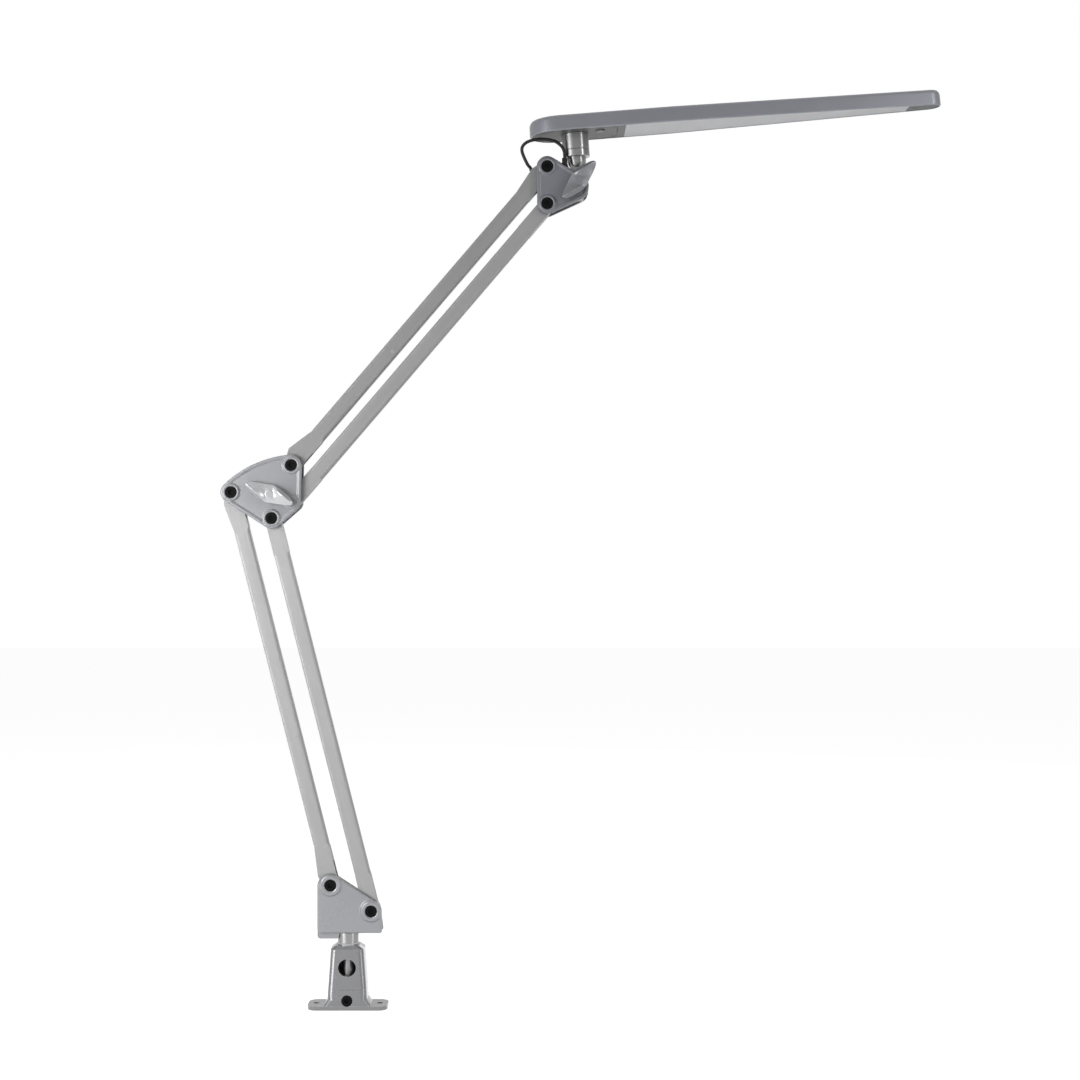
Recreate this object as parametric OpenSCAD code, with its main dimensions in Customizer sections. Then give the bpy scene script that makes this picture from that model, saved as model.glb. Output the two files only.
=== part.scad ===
// Spring-balanced desk lamp with a screw-down mount, two parallel-bar arms and a long flat LED head.
// The lamp stands in the XZ plane, +Z up. The origin is on the swivel axis at the underside of the foot.
// Sizes are in millimetres. Angles are in degrees, counter-clockwise as seen from the front (-Y) side.

/* [Mount] */
// Width of the foot flange
foot_w = 79; // [76:1:90]
// Depth of the foot flange
foot_d = 30; // [29:0.5:34]
// Thickness of the foot flange
foot_t = 4; // [3.5:0.25:5]
// Corner radius of the foot flange
foot_corner_r = 9; // [6:0.5:12]
// Distance between the two holes in the foot
foot_hole_spacing = 63; // [60:1:64]
// Radius of a hole in the foot
foot_hole_r = 2.75; // [2:0.25:3]
// Width of the tower where it meets the foot
tower_flare_w = 46; // [43:1:50]
// Width of the tower at its step
tower_base_w = 38; // [37:0.5:41]
// Width of the tower at its top
tower_top_w = 31.5; // [30:0.5:34]
// Depth of the tower below its step
tower_base_d = 28; // [27:0.5:28.5]
// Depth of the tower at its top
tower_top_d = 24.5; // [23.5:0.5:26]
// Height of the tower's step above the foot's underside
tower_step_z = 19.2; // [17:0.5:22]
// Height of the tower's top
tower_top_z = 62.5; // [60:0.5:70]
// Radius of the round window in the tower
window_r = 8.8; // [7:0.2:9]
// Height of the window's centre
window_z = 41.3; // [36:0.5:44]
// Height of the friction screw's axis
friction_screw_z = 9.3; // [9:0.1:10]

/* [Swivel pin] */
// Radius of the swivel pin
pin_r = 6; // [5.5:0.25:6.25]
// Radius of the collar between the tower and the yoke
collar_r = 10.2; // [9:0.2:11]
// Outer radius of the two bushes
bush_r = 8.2; // [7.8:0.1:8.4]

/* [Lower arm] */
// Distance between the pivots of the lower arm
lower_length = 400; // [300:10:450]
// Angle of the lower arm above the +X axis
lower_angle = 104.2; // [98:0.2:110]
// Yoke pivot of the outer bar, along X
yoke_pivot_x = -16.5; // [-18:0.5:-15]
// Yoke pivot of the outer bar, above the foot's underside
yoke_pivot_z = 122.5; // [120:0.5:130]
// Step from the outer pivot to the inner pivot, along X
lower_link_x = 40; // [39:0.5:42]
// Step from the outer pivot to the inner pivot, along Z
lower_link_z = -25.6; // [-26:0.2:-25]

/* [Upper arm] */
// Distance between the pivots of the upper arm
upper_length = 388; // [300:4:440]
// Angle of the upper arm above the +X axis
upper_angle = 49.4; // [44:0.2:54]
// Step from the lower outer pivot to the upper top pivot in the elbow, along X
elbow_step_x = 59.5; // [58:0.5:62]
// Step from the lower outer pivot to the upper top pivot in the elbow, along Z
elbow_step_z = 26.7; // [26:0.5:29]
// Distance between the upper arm's two pivots in the elbow
upper_link = 36.5; // [36:0.5:38]

/* [Bars] */
// Width of a bar, seen from the front
bar_w = 15; // [14:0.25:15.5]
// Depth of a bar, along Y
bar_d = 12; // [11.5:0.25:12]
// Wall of a bar's tube
bar_wall = 1.5; // [1.25:0.25:1.75]
// Corner radius of a bar
bar_corner_r = 2.6; // [2:0.2:3]
// Length of the flare at each end of an outer bar
flare_length = 36; // [30:1:40]
// Half width of the flare at the elbow end of the upper top bar
flare_large = 13.2; // [12:0.2:13.5]
// Half width of the other flares
flare_small = 10.6; // [9.5:0.2:11]

/* [Plates] */
// Thickness of a bracket plate
plate_t = 3; // [2.5:0.25:3.5]
// Height of a rim or a small boss above its plate
rim_h = 1.4; // [1:0.2:1.6]
// Width of a plate's rim
rim_w = 2.8; // [2.7:0.1:3.2]
// Height of a pivot boss above its plate
boss_h = 2.4; // [2:0.2:2.6]
// Radius of a pivot boss on the elbow and the head bracket
boss_r = 8.1; // [8:0.1:8.3]
// Radius of a pivot boss on the yoke
yoke_boss_r = 10; // [9:0.2:10.2]
// Radius of the plate round a pivot
lobe_r = 10.5; // [10.3:0.1:10.6]

/* [Pivots] */
// Radius of a pivot screw's shank
screw_r = 3; // [2.5:0.25:3]
// Radius of a pivot screw's head
head_r = 5.5; // [5:0.1:5.7]
// Height of a pivot screw's head
head_h = 4; // [3.5:0.25:4.25]
// Outer radius of a pivot sleeve
sleeve_r = 4.5; // [4.2:0.1:4.8]
// Outer radius of a pivot washer
washer_r = 7; // [6.5:0.1:7.2]
// Thickness of a pivot washer
washer_t = 1; // [0.8:0.1:1.2]

/* [Knobs] */
// Length of a knob over its two blades
knob_span = 50; // [44:1:52]
// Radius of a knob's round middle
knob_hub_r = 8.4; // [7.5:0.1:9]
// Height of a knob's blades along Y
knob_h = 9.6; // [8:0.2:11]
// Thickness of a blade at its tip
blade_tip = 6; // [4:0.5:7]
// Thickness of a blade at the middle
blade_root = 13; // [11:0.5:15]
// Angle at which the elbow's knob stands
elbow_knob_angle = -25; // [-180:5:180]
// Angle at which the head bracket's knob stands
head_knob_angle = 46.6; // [-180:0.2:180]

/* [Head] */
// Tilt of the head above the horizontal
head_tilt = 4.5; // [0:0.5:5]
// Height of the head's body
head_t = 15.5; // [14:0.5:18]
// Height of the head's underside above its tilt axis
head_rise = 47.8; // [47.2:0.2:51]
// Distance from the swivel axis to the middle of the head's round end
head_back = 16; // [14:1:20]
// Half width of the head at its round end
head_back_r = 28.5; // [27:0.5:30]
// Distance from the swivel axis to where the head begins to taper
head_mid = 95; // [80:5:110]
// Half width of the head where it begins to taper
head_mid_r = 28; // [26:0.5:28.5]
// Distance from the swivel axis to the middle of the head's tip
head_front = 352.5; // [320:2.5:360]
// Half width of the head's tip
head_front_r = 11.5; // [10:0.5:14]
// Wall of the head's shell
shell_wall = 1.6; // [1.4:0.1:1.8]
// Start of the diffuser from the swivel axis
diffuser_start = 50; // [48:1:60]
// End of the diffuser from the swivel axis
diffuser_end = 331; // [325:1:332]
// Radius of the collar under the head
head_collar_r = 13.3; // [12.5:0.1:13.5]
// Radius of the head's post
post_r = 9.2; // [8.8:0.1:9.4]
// Height of the middle of the post's ball end above the tilt axis
ball_rise = 21.9; // [21.5:0.1:22.5]
// Height of the collar's underside above the tilt axis
collar_rise = 25.3; // [25:0.1:28]
// Radius of the switch button
button_r = 4.3; // [3.5:0.1:5]

/* [Lead] */
// Radius of the lead
lead_r = 1.6; // [1.3:0.1:1.7]

/* [Springs] */
// Radius of the spring wire's coil, to the middle of the wire
coil_r = 2.9; // [2.6:0.1:3]
// Radius of the spring wire
wire_r = 0.6; // [0.5:0.05:0.65]
// Turns in a spring
coil_turns = 22; // [16:1:24]
// Length of a spring's coil
coil_length = 92; // [88:2:120]
// Radius from a pivot to the spring's anchor peg
anchor_r = 11; // [10.5:0.25:11.5]

/* [Fits] */
// Gap between a turning part and what it turns in, on the radius
running_gap = 0.05; // [0.02:0.01:0.08]
// Gap between fixed parts that slip together, on the radius
slip_gap = 0.1; // [0.05:0.05:0.2]
// Gap between a moving part and what it passes
free_gap = 0.4; // [0.3:0.05:0.6]
// Extra play at the pivot where each four-bar loop is left open
open_gap = 0.3; // [0.2:0.05:0.4]

/* [Hidden] */
$fn = 48;

// How far a cutting solid runs past the face it cuts
cut = 1;
// Steps of a rounded corner in an outline
arc_steps = 10;

// Places in the XZ plane
yoke_out = [yoke_pivot_x, yoke_pivot_z];
lower_link = [lower_link_x, lower_link_z];
yoke_in = yoke_out + lower_link;
lower_dir = [cos(lower_angle), sin(lower_angle)];
elbow_out = yoke_out + lower_length * lower_dir;
elbow_in = elbow_out + lower_link;
elbow_top = elbow_out + [elbow_step_x, elbow_step_z];
elbow_low = elbow_top - [0, upper_link];
upper_dir = [cos(upper_angle), sin(upper_angle)];
head_top = elbow_top + upper_length * upper_dir;
head_low = head_top - [0, upper_link];
// From the lower outer pivot to the elbow knob's axis
elbow_knob_step = [38.9, -1.7];
elbow_knob_at = elbow_out + elbow_knob_step;
// From the upper top pivot to the head's tilt axis
tilt_step = [31.1, -14.5];
tilt_at = head_top + tilt_step;

// Layers along Y, from the middle plane outwards
bar_y = bar_d / 2;
washer_y = bar_y + washer_t + running_gap * 2;
plate_y = washer_y + plate_t;
boss_y = plate_y + boss_h;
knob_y = boss_y + free_gap * 4;

// Fits
sleeve_bore_r = screw_r + running_gap;
bar_bore_r = sleeve_r + running_gap;
open_bore_r = bar_bore_r + open_gap;
head_pocket_r = head_r + slip_gap;
nut_r = head_r;
nut_h = screw_r;
// Depth of a screw head below its boss's face
head_recess = 0.5;
nut_pocket_r = nut_r + slip_gap;
pin_bore_r = pin_r + running_gap;
bush_bore_r = bush_r + slip_gap;

// Yoke
yoke_bottom_z = 75;
yoke_lip_drop = 5.8;
yoke_lip_w = 21;
yoke_block_top_z = 87.6;
yoke_corner_r = 4;
yoke_right_corner_r = 1.8;
yoke_out_lobe_r = 12.2;
yoke_in_lobe_r = 10.8;
// From each pivot to the middle of the round corner over it
yoke_out_shift = [-1, -1.3];
yoke_in_shift = [-0.2, -0.5];
// The back plate's round corners are smaller by this
yoke_back_inset = 2.4;
yoke_left_x = yoke_out[0] + yoke_out_shift[0] - yoke_out_lobe_r;
yoke_side = 10.6;
yoke_right_x = yoke_in[0] + yoke_side;
yoke_lip_r = 3;
yoke_lip_edge_r = 2;

// Socket at the back of the yoke, from the outer pivot
gland_step = [-3, -29];
gland_at = yoke_out + gland_step;
gland_bore_r = 4;
gland_flange_r = 6.2;
gland_tail_r = 3.2;

// Swivel pin and bushes
pin_floor_z = 3;
lower_bush_h = 8.5;
upper_bush_h = 9;
bush_flange_h = 2.5;
cavity_extra = 0.4;
cavity_r = window_r + cavity_extra;
collar_groove_z = tower_top_z + bush_flange_h;
pin_tail = 9.5;

// Edge of the rounded strip between two circles, as an angle from the first one's middle
function wrap(a) = ((a % 360) + 360) % 360;
function turn(a, b) = let (t = wrap(b - a)) t > 345 ? 0 : t;
function heading(a, b) = atan2(b[1] - a[1], b[0] - a[0]);
function tangent(a, b) =
    heading(a, b) - acos(max(-1, min(1, (a[2] - b[2]) / norm([b[0] - a[0], b[1] - a[1]]))));
function round_at(c, from, by, steps) =
    [for (k = [0 : steps]) [c[0], c[1]] + c[2] * [cos(from + by * k / steps), sin(from + by * k / steps)]];
// Outline of a belt drawn tight round circles [x, z, radius] that are given counter-clockwise
function belt(circles, steps = arc_steps) =
    let (n = len(circles))
    [for (i = [0 : n - 1])
        let (
            before = circles[(i + n - 1) % n],
            here = circles[i],
            after = circles[(i + 1) % n],
            from = tangent(before, here),
            by = turn(from, tangent(here, after))
        )
        each round_at(here, from, by, steps)];
function shrink(circles, by) = [for (c = circles) [c[0], c[1], c[2] - by]];
function lobe(at, r) = [at[0], at[1], r];

// Moves a shape drawn at the origin to a point of the XZ plane and turns it there
module at_joint(point, angle = 0) {
    translate([point[0], 0, point[1]])
        rotate([0, -angle, 0])
            children();
}

// Raises a flat XZ outline between two depths
module across(low, high) {
    translate([0, high, 0])
        rotate([90, 0, 0])
            linear_extrude(high - low)
                children();
}

// A round rod or bore along Y
module rod(point, r, low, high) {
    across(low, high)
        translate(point)
            circle(r);
}

module ring(point, r, bore_r, low, high) {
    difference() {
        rod(point, r, low, high);
        rod(point, bore_r, low - cut, high + cut);
    }
}

// A rectangle with round corners, in the middle of the origin
module rounded(w, h, r) {
    square([w - 2 * r, h], center = true);
    square([w, h - 2 * r], center = true);
    for (x = [-1, 1], y = [-1, 1])
        translate([x * (w / 2 - r), y * (h / 2 - r)])
            circle(r);
}

// A plate with a raised rim on its front, and round bosses on its pivots
module rimmed_plate(circles, bosses, r) {
    across(-plate_y, -washer_y)
        polygon(belt(circles));
    across(-plate_y - rim_h, -plate_y)
        difference() {
            polygon(belt(circles));
            polygon(belt(shrink(circles, rim_w)));
        }
    for (p = bosses)
        rod(p, r, -boss_y, -plate_y);
}

// The holes that a front plate has for its pivot screws
module screw_holes(points) {
    for (p = points) {
        rod(p, sleeve_bore_r, -boss_y - cut, -washer_y + cut);
        rod(p, head_pocket_r, -boss_y - cut, -boss_y + head_h);
    }
}

// The holes that a back plate has for its pivot screws and nuts
module nut_holes(points) {
    for (p = points) {
        rod(p, sleeve_bore_r, washer_y - cut, boss_y + cut);
        rod(p, nut_pocket_r, boss_y - nut_h, boss_y + cut);
    }
}

// A black socket-head screw with a hexagon socket, on each pivot
module pivot_screws(points) {
    color("black")
        for (p = points)
            difference() {
                union() {
                    rod(p, screw_r, -boss_y + head_h - slip_gap, boss_y - slip_gap);
                    rod(p, head_r, -boss_y + head_recess, -boss_y + head_h);
                }
                across(-boss_y - cut, -boss_y + head_h / 2)
                    translate(p)
                        circle(screw_r * 0.95, $fn = 6);
            }
}

module pivot_nuts(points) {
    color("dimgray")
        for (p = points)
            difference() {
                across(boss_y - nut_h, boss_y - slip_gap)
                    translate(p)
                        circle(nut_r, $fn = 6);
                rod(p, sleeve_bore_r, boss_y - nut_h - cut, boss_y + cut);
            }
}

module pivot_sleeves(points) {
    color("silver")
        for (p = points)
            ring(p, sleeve_r, sleeve_bore_r, -washer_y, washer_y);
}

// Two washers on each pivot, one at each side of its bar
module pivot_washers(points) {
    color("ivory")
        for (p = points, side = [-1, 1])
            ring(p, washer_r, bar_bore_r,
                side < 0 ? -washer_y + running_gap : bar_y + running_gap,
                side < 0 ? -bar_y - running_gap : washer_y - running_gap);
}

// Mount

// A slab with round corners, from one height to another
module slab(w, d, r, low, high) {
    translate([0, 0, low])
        linear_extrude(high - low)
            rounded(w, d, r);
}

// A tapering block between two thin slabs with round corners
module taper(low_w, low_d, low_z, high_w, high_d, high_z, r) {
    skin = 0.4;
    hull() {
        slab(low_w, low_d, r, low_z, low_z + skin, $fn = 32);
        slab(high_w, high_d, r, high_z - skin, high_z, $fn = 32);
    }
}

module mount_casting() {
    edge_r = 4;
    flare_h = 5.5;
    step_d = 1.1;
    neck_h = 3.4;
    color("darkgray")
        difference() {
            union() {
                slab(foot_w, foot_d, foot_corner_r, 0, foot_t);
                taper(tower_flare_w, tower_base_d + step_d, foot_t,
                    tower_base_w + step_d, tower_base_d, foot_t + flare_h, edge_r);
                taper(tower_base_w + step_d, tower_base_d, foot_t + flare_h,
                    tower_base_w, tower_base_d, tower_step_z, edge_r);
                taper(tower_base_w, tower_base_d - 2 * step_d, tower_step_z,
                    tower_top_w + step_d, tower_top_d + step_d, tower_top_z - neck_h, edge_r);
                taper(tower_top_w + step_d, tower_top_d + step_d, tower_top_z - neck_h,
                    tower_top_w - 7 * step_d, tower_top_d - 3 * step_d, tower_top_z, edge_r);
            }
            translate([0, 0, pin_floor_z])
                cylinder(h = tower_top_z, r = bush_bore_r);
            translate([0, 0, pin_floor_z + lower_bush_h])
                cylinder(h = tower_top_z - upper_bush_h - pin_floor_z - lower_bush_h, r = cavity_r);
            rod([0, window_z], window_r, -foot_d, 0);
            rod([0, friction_screw_z], screw_r + slip_gap, -foot_d, 0);
            rod([0, friction_screw_z], head_pocket_r, -foot_d, -tower_base_d / 2 + head_h / 2);
            for (x = [-1, 1])
                translate([x * foot_hole_spacing / 2, 0, -cut])
                    cylinder(h = foot_t + 2 * cut, r = foot_hole_r);
        }
}

module swivel_bushes() {
    color("burlywood") {
        difference() {
            translate([0, 0, pin_floor_z])
                cylinder(h = lower_bush_h, r = bush_r);
            translate([0, 0, pin_floor_z + cut])
                cylinder(h = lower_bush_h, r = pin_bore_r);
            rod([0, friction_screw_z], screw_r + slip_gap, -foot_d, 0);
        }
        difference() {
            union() {
                translate([0, 0, tower_top_z - upper_bush_h])
                    cylinder(h = upper_bush_h, r = bush_r);
                translate([0, 0, tower_top_z])
                    cylinder(h = bush_flange_h, r = collar_r);
            }
            translate([0, 0, tower_top_z - upper_bush_h - cut])
                cylinder(h = upper_bush_h + bush_flange_h + 2 * cut, r = pin_bore_r);
        }
    }
}

module friction_screw() {
    front_y = -tower_base_d / 2 - slip_gap;
    color("black")
        difference() {
            union() {
                rod([0, friction_screw_z], head_r, front_y, -tower_base_d / 2 + head_h / 2);
                rod([0, friction_screw_z], screw_r, front_y, -pin_r - running_gap * 2);
            }
            across(front_y - cut, front_y + head_h / 2)
                translate([0, friction_screw_z])
                    circle(screw_r * 0.95, $fn = 6);
        }
}

// Column

module swivel_pin() {
    color("lightgray") {
        translate([0, 0, pin_floor_z + cut + running_gap])
            cylinder(h = yoke_bottom_z + pin_tail - pin_floor_z - cut, r = pin_r);
        translate([0, 0, collar_groove_z + running_gap])
            cylinder(h = yoke_bottom_z - collar_groove_z - running_gap, r = collar_r);
    }
}

function yoke_outline(inset) = [
    [yoke_left_x + yoke_corner_r, yoke_bottom_z + yoke_corner_r, yoke_corner_r],
    [
        yoke_right_x - yoke_right_corner_r,
        yoke_bottom_z + yoke_right_corner_r,
        yoke_right_corner_r
    ],
    lobe(yoke_in + yoke_in_shift, yoke_in_lobe_r - inset),
    lobe(yoke_out + yoke_out_shift, yoke_out_lobe_r - inset)
];
yoke_pivots = [yoke_out, yoke_in];

module yoke_plate() {
    color("darkgray")
        difference() {
            union() {
                across(-plate_y, -washer_y)
                    polygon(belt(yoke_outline(0)));
                for (p = yoke_pivots)
                    rod(p, yoke_boss_r, -boss_y, -plate_y);
            }
            screw_holes(yoke_pivots);
        }
}

// The lip that hangs from the yoke at its left
yoke_lip = [
    [yoke_left_x + yoke_lip_r, yoke_bottom_z - yoke_lip_drop + yoke_lip_r, yoke_lip_r],
    [
        yoke_left_x + yoke_lip_w - yoke_lip_edge_r,
        yoke_bottom_z - yoke_lip_drop + yoke_lip_edge_r,
        yoke_lip_edge_r
    ],
    [yoke_left_x + yoke_lip_w, yoke_bottom_z + yoke_lip_r, yoke_lip_edge_r],
    [yoke_left_x + yoke_lip_r, yoke_bottom_z + 2 * yoke_lip_r, yoke_lip_r]
];

module yoke_body() {
    color("darkgray")
        difference() {
            union() {
                across(washer_y, plate_y)
                    polygon(belt(yoke_outline(yoke_back_inset)));
                for (p = yoke_pivots)
                    rod(p, yoke_boss_r - yoke_back_inset, plate_y, boss_y);
                across(-washer_y, washer_y)
                    translate([yoke_left_x + rim_h, yoke_bottom_z])
                        square([yoke_right_x - yoke_left_x - 2 * rim_h, yoke_block_top_z - yoke_bottom_z]);
                across(-washer_y, plate_y)
                    polygon(belt(yoke_lip));
            }
            nut_holes(yoke_pivots);
            translate([0, 0, yoke_bottom_z - yoke_lip_drop])
                cylinder(h = yoke_lip_drop, r = collar_r + free_gap);
            translate([0, 0, yoke_bottom_z - cut])
                cylinder(h = pin_tail + cut + slip_gap * 4, r = pin_r + slip_gap / 4);
            rod(gland_at, gland_bore_r, 0, plate_y + cut);
        }
}

// A socket at the back of the yoke, where the supply plugs in
module lead_gland() {
    flange_t = 2.2;
    tail = 9;
    color("black")
        difference() {
            union() {
                rod(gland_at, gland_bore_r - slip_gap, washer_y, plate_y + flange_t);
                rod(gland_at, gland_flange_r, plate_y, plate_y + flange_t);
                rod(gland_at, gland_tail_r, plate_y, plate_y + flange_t + tail);
            }
            rod(gland_at, lead_r + slip_gap, 0, plate_y + flange_t + tail + cut);
        }
}

module yoke_screws() {
    pivot_screws(yoke_pivots);
}

module yoke_nuts() {
    pivot_nuts(yoke_pivots);
}

module yoke_sleeves() {
    pivot_sleeves(yoke_pivots);
}

module yoke_washers() {
    pivot_washers(yoke_pivots);
}

// Bars

end_r = bar_w / 2;
slot_y = 3.6;
slot_length = 22;
flare_tip_r = 3;
flare_tip_x = 11;
spring_z = -2.3;
lead_z = 3.9;
lead_y = 1.9;
peg_r = 1.1;
pin_from_end = 150;
pin_hole_r = 1.5;

// The bar's end seen from the front, with a flare on its upper side if one is asked for
module bar_end(flare) {
    circle(end_r);
    translate([0, -end_r])
        square([flare_length, bar_w]);
    if (flare > end_r)
        polygon(belt([
            [0, 0, end_r],
            [flare_length, 0, end_r],
            [flare_tip_x, flare - flare_tip_r, flare_tip_r]
        ]));
}

// A bar from its first pivot at the origin along +X
module bar(length, first_flare, last_flare, first_bore_r, last_bore_r, hollow_ends) {
    difference() {
        union() {
            translate([flare_length, 0, 0])
                rotate([90, 0, 90])
                    linear_extrude(length - 2 * flare_length)
                        rounded(bar_d, bar_w, bar_corner_r);
            across(-bar_y, bar_y)
                bar_end(first_flare);
            translate([length, 0, 0])
                across(-bar_y, bar_y)
                    mirror([1, 0])
                        bar_end(last_flare);
        }
        translate([slot_length / 2, 0, 0])
            rotate([90, 0, 90])
                linear_extrude(length - slot_length)
                    rounded(bar_d - 2 * bar_wall, bar_w - 2 * bar_wall, bar_corner_r - bar_wall / 2);
        if (hollow_ends)
            for (x = [slot_length / 2 - slot_length, length - slot_length])
                translate([x, -slot_y, -bar_w])
                    cube([slot_length * 3 / 2, 2 * slot_y, 2 * bar_w]);
        rod([0, 0], first_bore_r, -bar_y - cut, bar_y + cut);
        rod([length, 0], last_bore_r, -bar_y - cut, bar_y + cut);
    }
}

// Hole across a bar for the pin that holds its spring
module spring_pin_hole() {
    rod([pin_from_end, spring_z], pin_hole_r, -bar_y - cut, bar_y + cut);
}

module spring_pin(colour) {
    color(colour)
        rod([pin_from_end, spring_z], pin_hole_r - running_gap, -bar_y - slip_gap, bar_y + slip_gap);
}

module lower_outer_bar() {
    color("silver")
        at_joint(yoke_out, lower_angle)
            difference() {
                bar(lower_length, flare_small, flare_small, bar_bore_r, bar_bore_r, true);
                spring_pin_hole();
            }
}

module lower_inner_bar() {
    color("silver")
        at_joint(yoke_in, lower_angle)
            bar(lower_length, 0, 0, bar_bore_r, open_bore_r, false);
}

module upper_top_bar() {
    color("silver")
        at_joint(elbow_top, upper_angle)
            difference() {
                bar(upper_length, flare_large, flare_small, bar_bore_r, bar_bore_r, true);
                spring_pin_hole();
            }
}

module upper_bottom_bar() {
    color("silver")
        at_joint(elbow_low, upper_angle)
            bar(upper_length, 0, 0, bar_bore_r, open_bore_r, false);
}

module lower_spring_pin() {
    at_joint(yoke_out, lower_angle)
        spring_pin("gray");
}

module upper_spring_pin() {
    at_joint(elbow_top, upper_angle)
        spring_pin("gray");
}

// Springs and leads

function unit(v) = v / norm(v);
// A smooth curve through a list of points, with some steps between each two
function smooth(p, steps) =
    let (n = len(p))
    [for (i = [0 : n - 2])
        let (a = p[max(i - 1, 0)], b = p[i], c = p[i + 1], d = p[min(i + 2, n - 1)])
        for (k = [0 : steps - 1])
            let (t = k / steps)
            0.5 * (2 * b + (c - a) * t + (2 * a - 5 * b + 4 * c - d) * t * t
                + (3 * b - a - 3 * c + d) * t * t * t),
        p[n - 1]];

// A round tube along a list of points. Its rings keep one side towards "up".
module tube(p, r, sides, up) {
    n = len(p);
    rings = [for (i = [0 : n - 1])
        let (
            along = unit(p[min(i + 1, n - 1)] - p[max(i - 1, 0)]),
            side = unit(cross(along, up)),
            top = cross(side, along)
        )
        for (k = [0 : sides - 1])
            p[i] + r * (cos(360 * k / sides) * side + sin(360 * k / sides) * top)];
    walls = [for (i = [0 : n - 2], k = [0 : sides - 1])
        let (a = i * sides + k, b = i * sides + (k + 1) % sides)
        each [[a, b, b + sides], [a, b + sides, a + sides]]];
    caps = [
        [for (k = [sides - 1 : -1 : 0]) k],
        [for (k = [0 : sides - 1]) (n - 1) * sides + k]
    ];
    polyhedron(points = rings, faces = concat(walls, caps));
}

coil_sides = 6;
coil_rings = 8;
eye_gap = 0.15;
eye_r = peg_r + wire_r + eye_gap;
pin_eye_r = pin_hole_r + wire_r + eye_gap;
eye_y = -0.7;
hook = 7;
coil_end = pin_from_end - hook - eye_r;

// The middle line of a spring from an eye on its anchor peg to an eye on its pin
function spring_line(peg) = concat(
    [for (k = [0 : 6]) [peg[0], eye_y, peg[1]] + eye_r * [cos(-50 * k), 0, sin(-50 * k)]],
    [[coil_end - coil_length - hook, 0, spring_z]],
    [for (k = [0 : coil_turns * coil_rings])
        [coil_end - coil_length + coil_length * k / (coil_turns * coil_rings),
            coil_r * sin(360 * k / coil_rings), spring_z + coil_r * cos(360 * k / coil_rings)]],
    [[coil_end + hook / 2, 0, spring_z]],
    [for (k = [0 : 5]) [pin_from_end, 0, spring_z] + pin_eye_r * [-cos(55 * k), 0, sin(55 * k)]]
);

module spring(peg) {
    color("dimgray")
        tube(spring_line(peg), wire_r, coil_sides, [0.31, 0.93, 0.2]);
}

// Place of the anchor peg in the frame of a bar that leans at some angle
function peg_in(angle) = anchor_r * [cos(90 - angle), sin(90 - angle)];

module lower_spring() {
    at_joint(yoke_out, lower_angle)
        spring(peg_in(lower_angle));
}

module upper_spring() {
    at_joint(elbow_top, upper_angle)
        spring(peg_in(upper_angle));
}

anchor_hub_r = 7;
anchor_low_y = -3.4;
anchor_high_y = -1.4;

// A lever fixed on a pivot sleeve that holds the end of a balance spring
module spring_anchor(at) {
    color("gray")
        difference() {
            union() {
                across(anchor_low_y, anchor_high_y)
                    polygon(belt([
                        lobe(at, anchor_hub_r),
                        lobe(at + [0, anchor_r], peg_r * 2)
                    ]));
                rod(at + [0, anchor_r], peg_r, anchor_high_y, 0);
            }
            rod(at, sleeve_r + slip_gap / 2, anchor_low_y - cut, anchor_high_y + cut);
        }
}

module yoke_spring_anchor() {
    spring_anchor(yoke_out);
}

module elbow_spring_anchor() {
    spring_anchor(elbow_top);
}

lead_sides = 8;

module lead(points, up, steps) {
    color([0.06, 0.06, 0.06])
        tube(smooth(points, steps), lead_r, lead_sides, up);
}

// A point of the lead inside a bar that starts at a pivot and leans at an angle
function in_bar(at, angle, x, y, z) = [
    at[0] + x * cos(angle) - z * sin(angle),
    y,
    at[1] + x * sin(angle) + z * cos(angle)
];
// Points of a route that are given from a pivot
function from_pivot(at, points) = [for (p = points) [at[0] + p[0], p[1], at[1] + p[2]]];

// Each stretch of the lead ends in a short straight run, and a narrow gap parts it from the next one
lead_run = 3;
lead_end_gap = 0.5;
function last_points(before, at, after) =
    let (d = unit(after - before)) [at - lead_run * d, at - lead_end_gap / 2 * d];
function first_points(before, at, after) =
    let (d = unit(after - before)) [at + lead_end_gap / 2 * d, at + lead_run * d];

// Places along a bar where its lead turns in at its pivot, and where the upper one leaves it
bar_lead_start = 9;
bar_lead_rise = 6.8;
bar_lead_level = 24;
upper_lead_level = 22;
upper_lead_end = 12.5;
upper_lead_rise = 10.6;

// Routes of the lead's free stretches: from the socket, and from the pivots that they pass
socket_route = [[0, 16.5, 0], [0, 12, 0], [0, 8, 0], [-0.6, 4.6, 1.4], [-2, 3, 6]];
yoke_route = [[-9, 1.9, -10], [-10.5, 1.9, -2]];
elbow_route_start = [[-6.4, 1.9, -1], [-3, 1.9, 6.6], [16, 1.9, 14]];
elbow_route_end = [[-26, 1.9, -6], [-10.5, 1.9, -2], [-7.5, 1.9, 6.5]];
loop_route = [
    [-19.9, -2, 4.4], [-24.8, -4, 15.4], [-23.9, -6, 21.4], [-17.4, -8, 25.6], [-5.4, -9, 27.2],
    [6.6, -9.8, 25.2], [14, -10.3, 20], [17, -10.2, 13.9], [17.2, -9.8, 10.4], [17.2, -9.6, 8.2],
    [17.5, -8.2, 6], [18.2, -5.6, 3.8], [19.2, -3.6, 1.4], [19.8, -3.2, -2]
];
post_route = [
    [0, 22.4], [0, 34], [0, 48], [0, 56], [1.6, 59], [5, 59.7], [14, 59.2], [19, 59.2]
];

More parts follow.
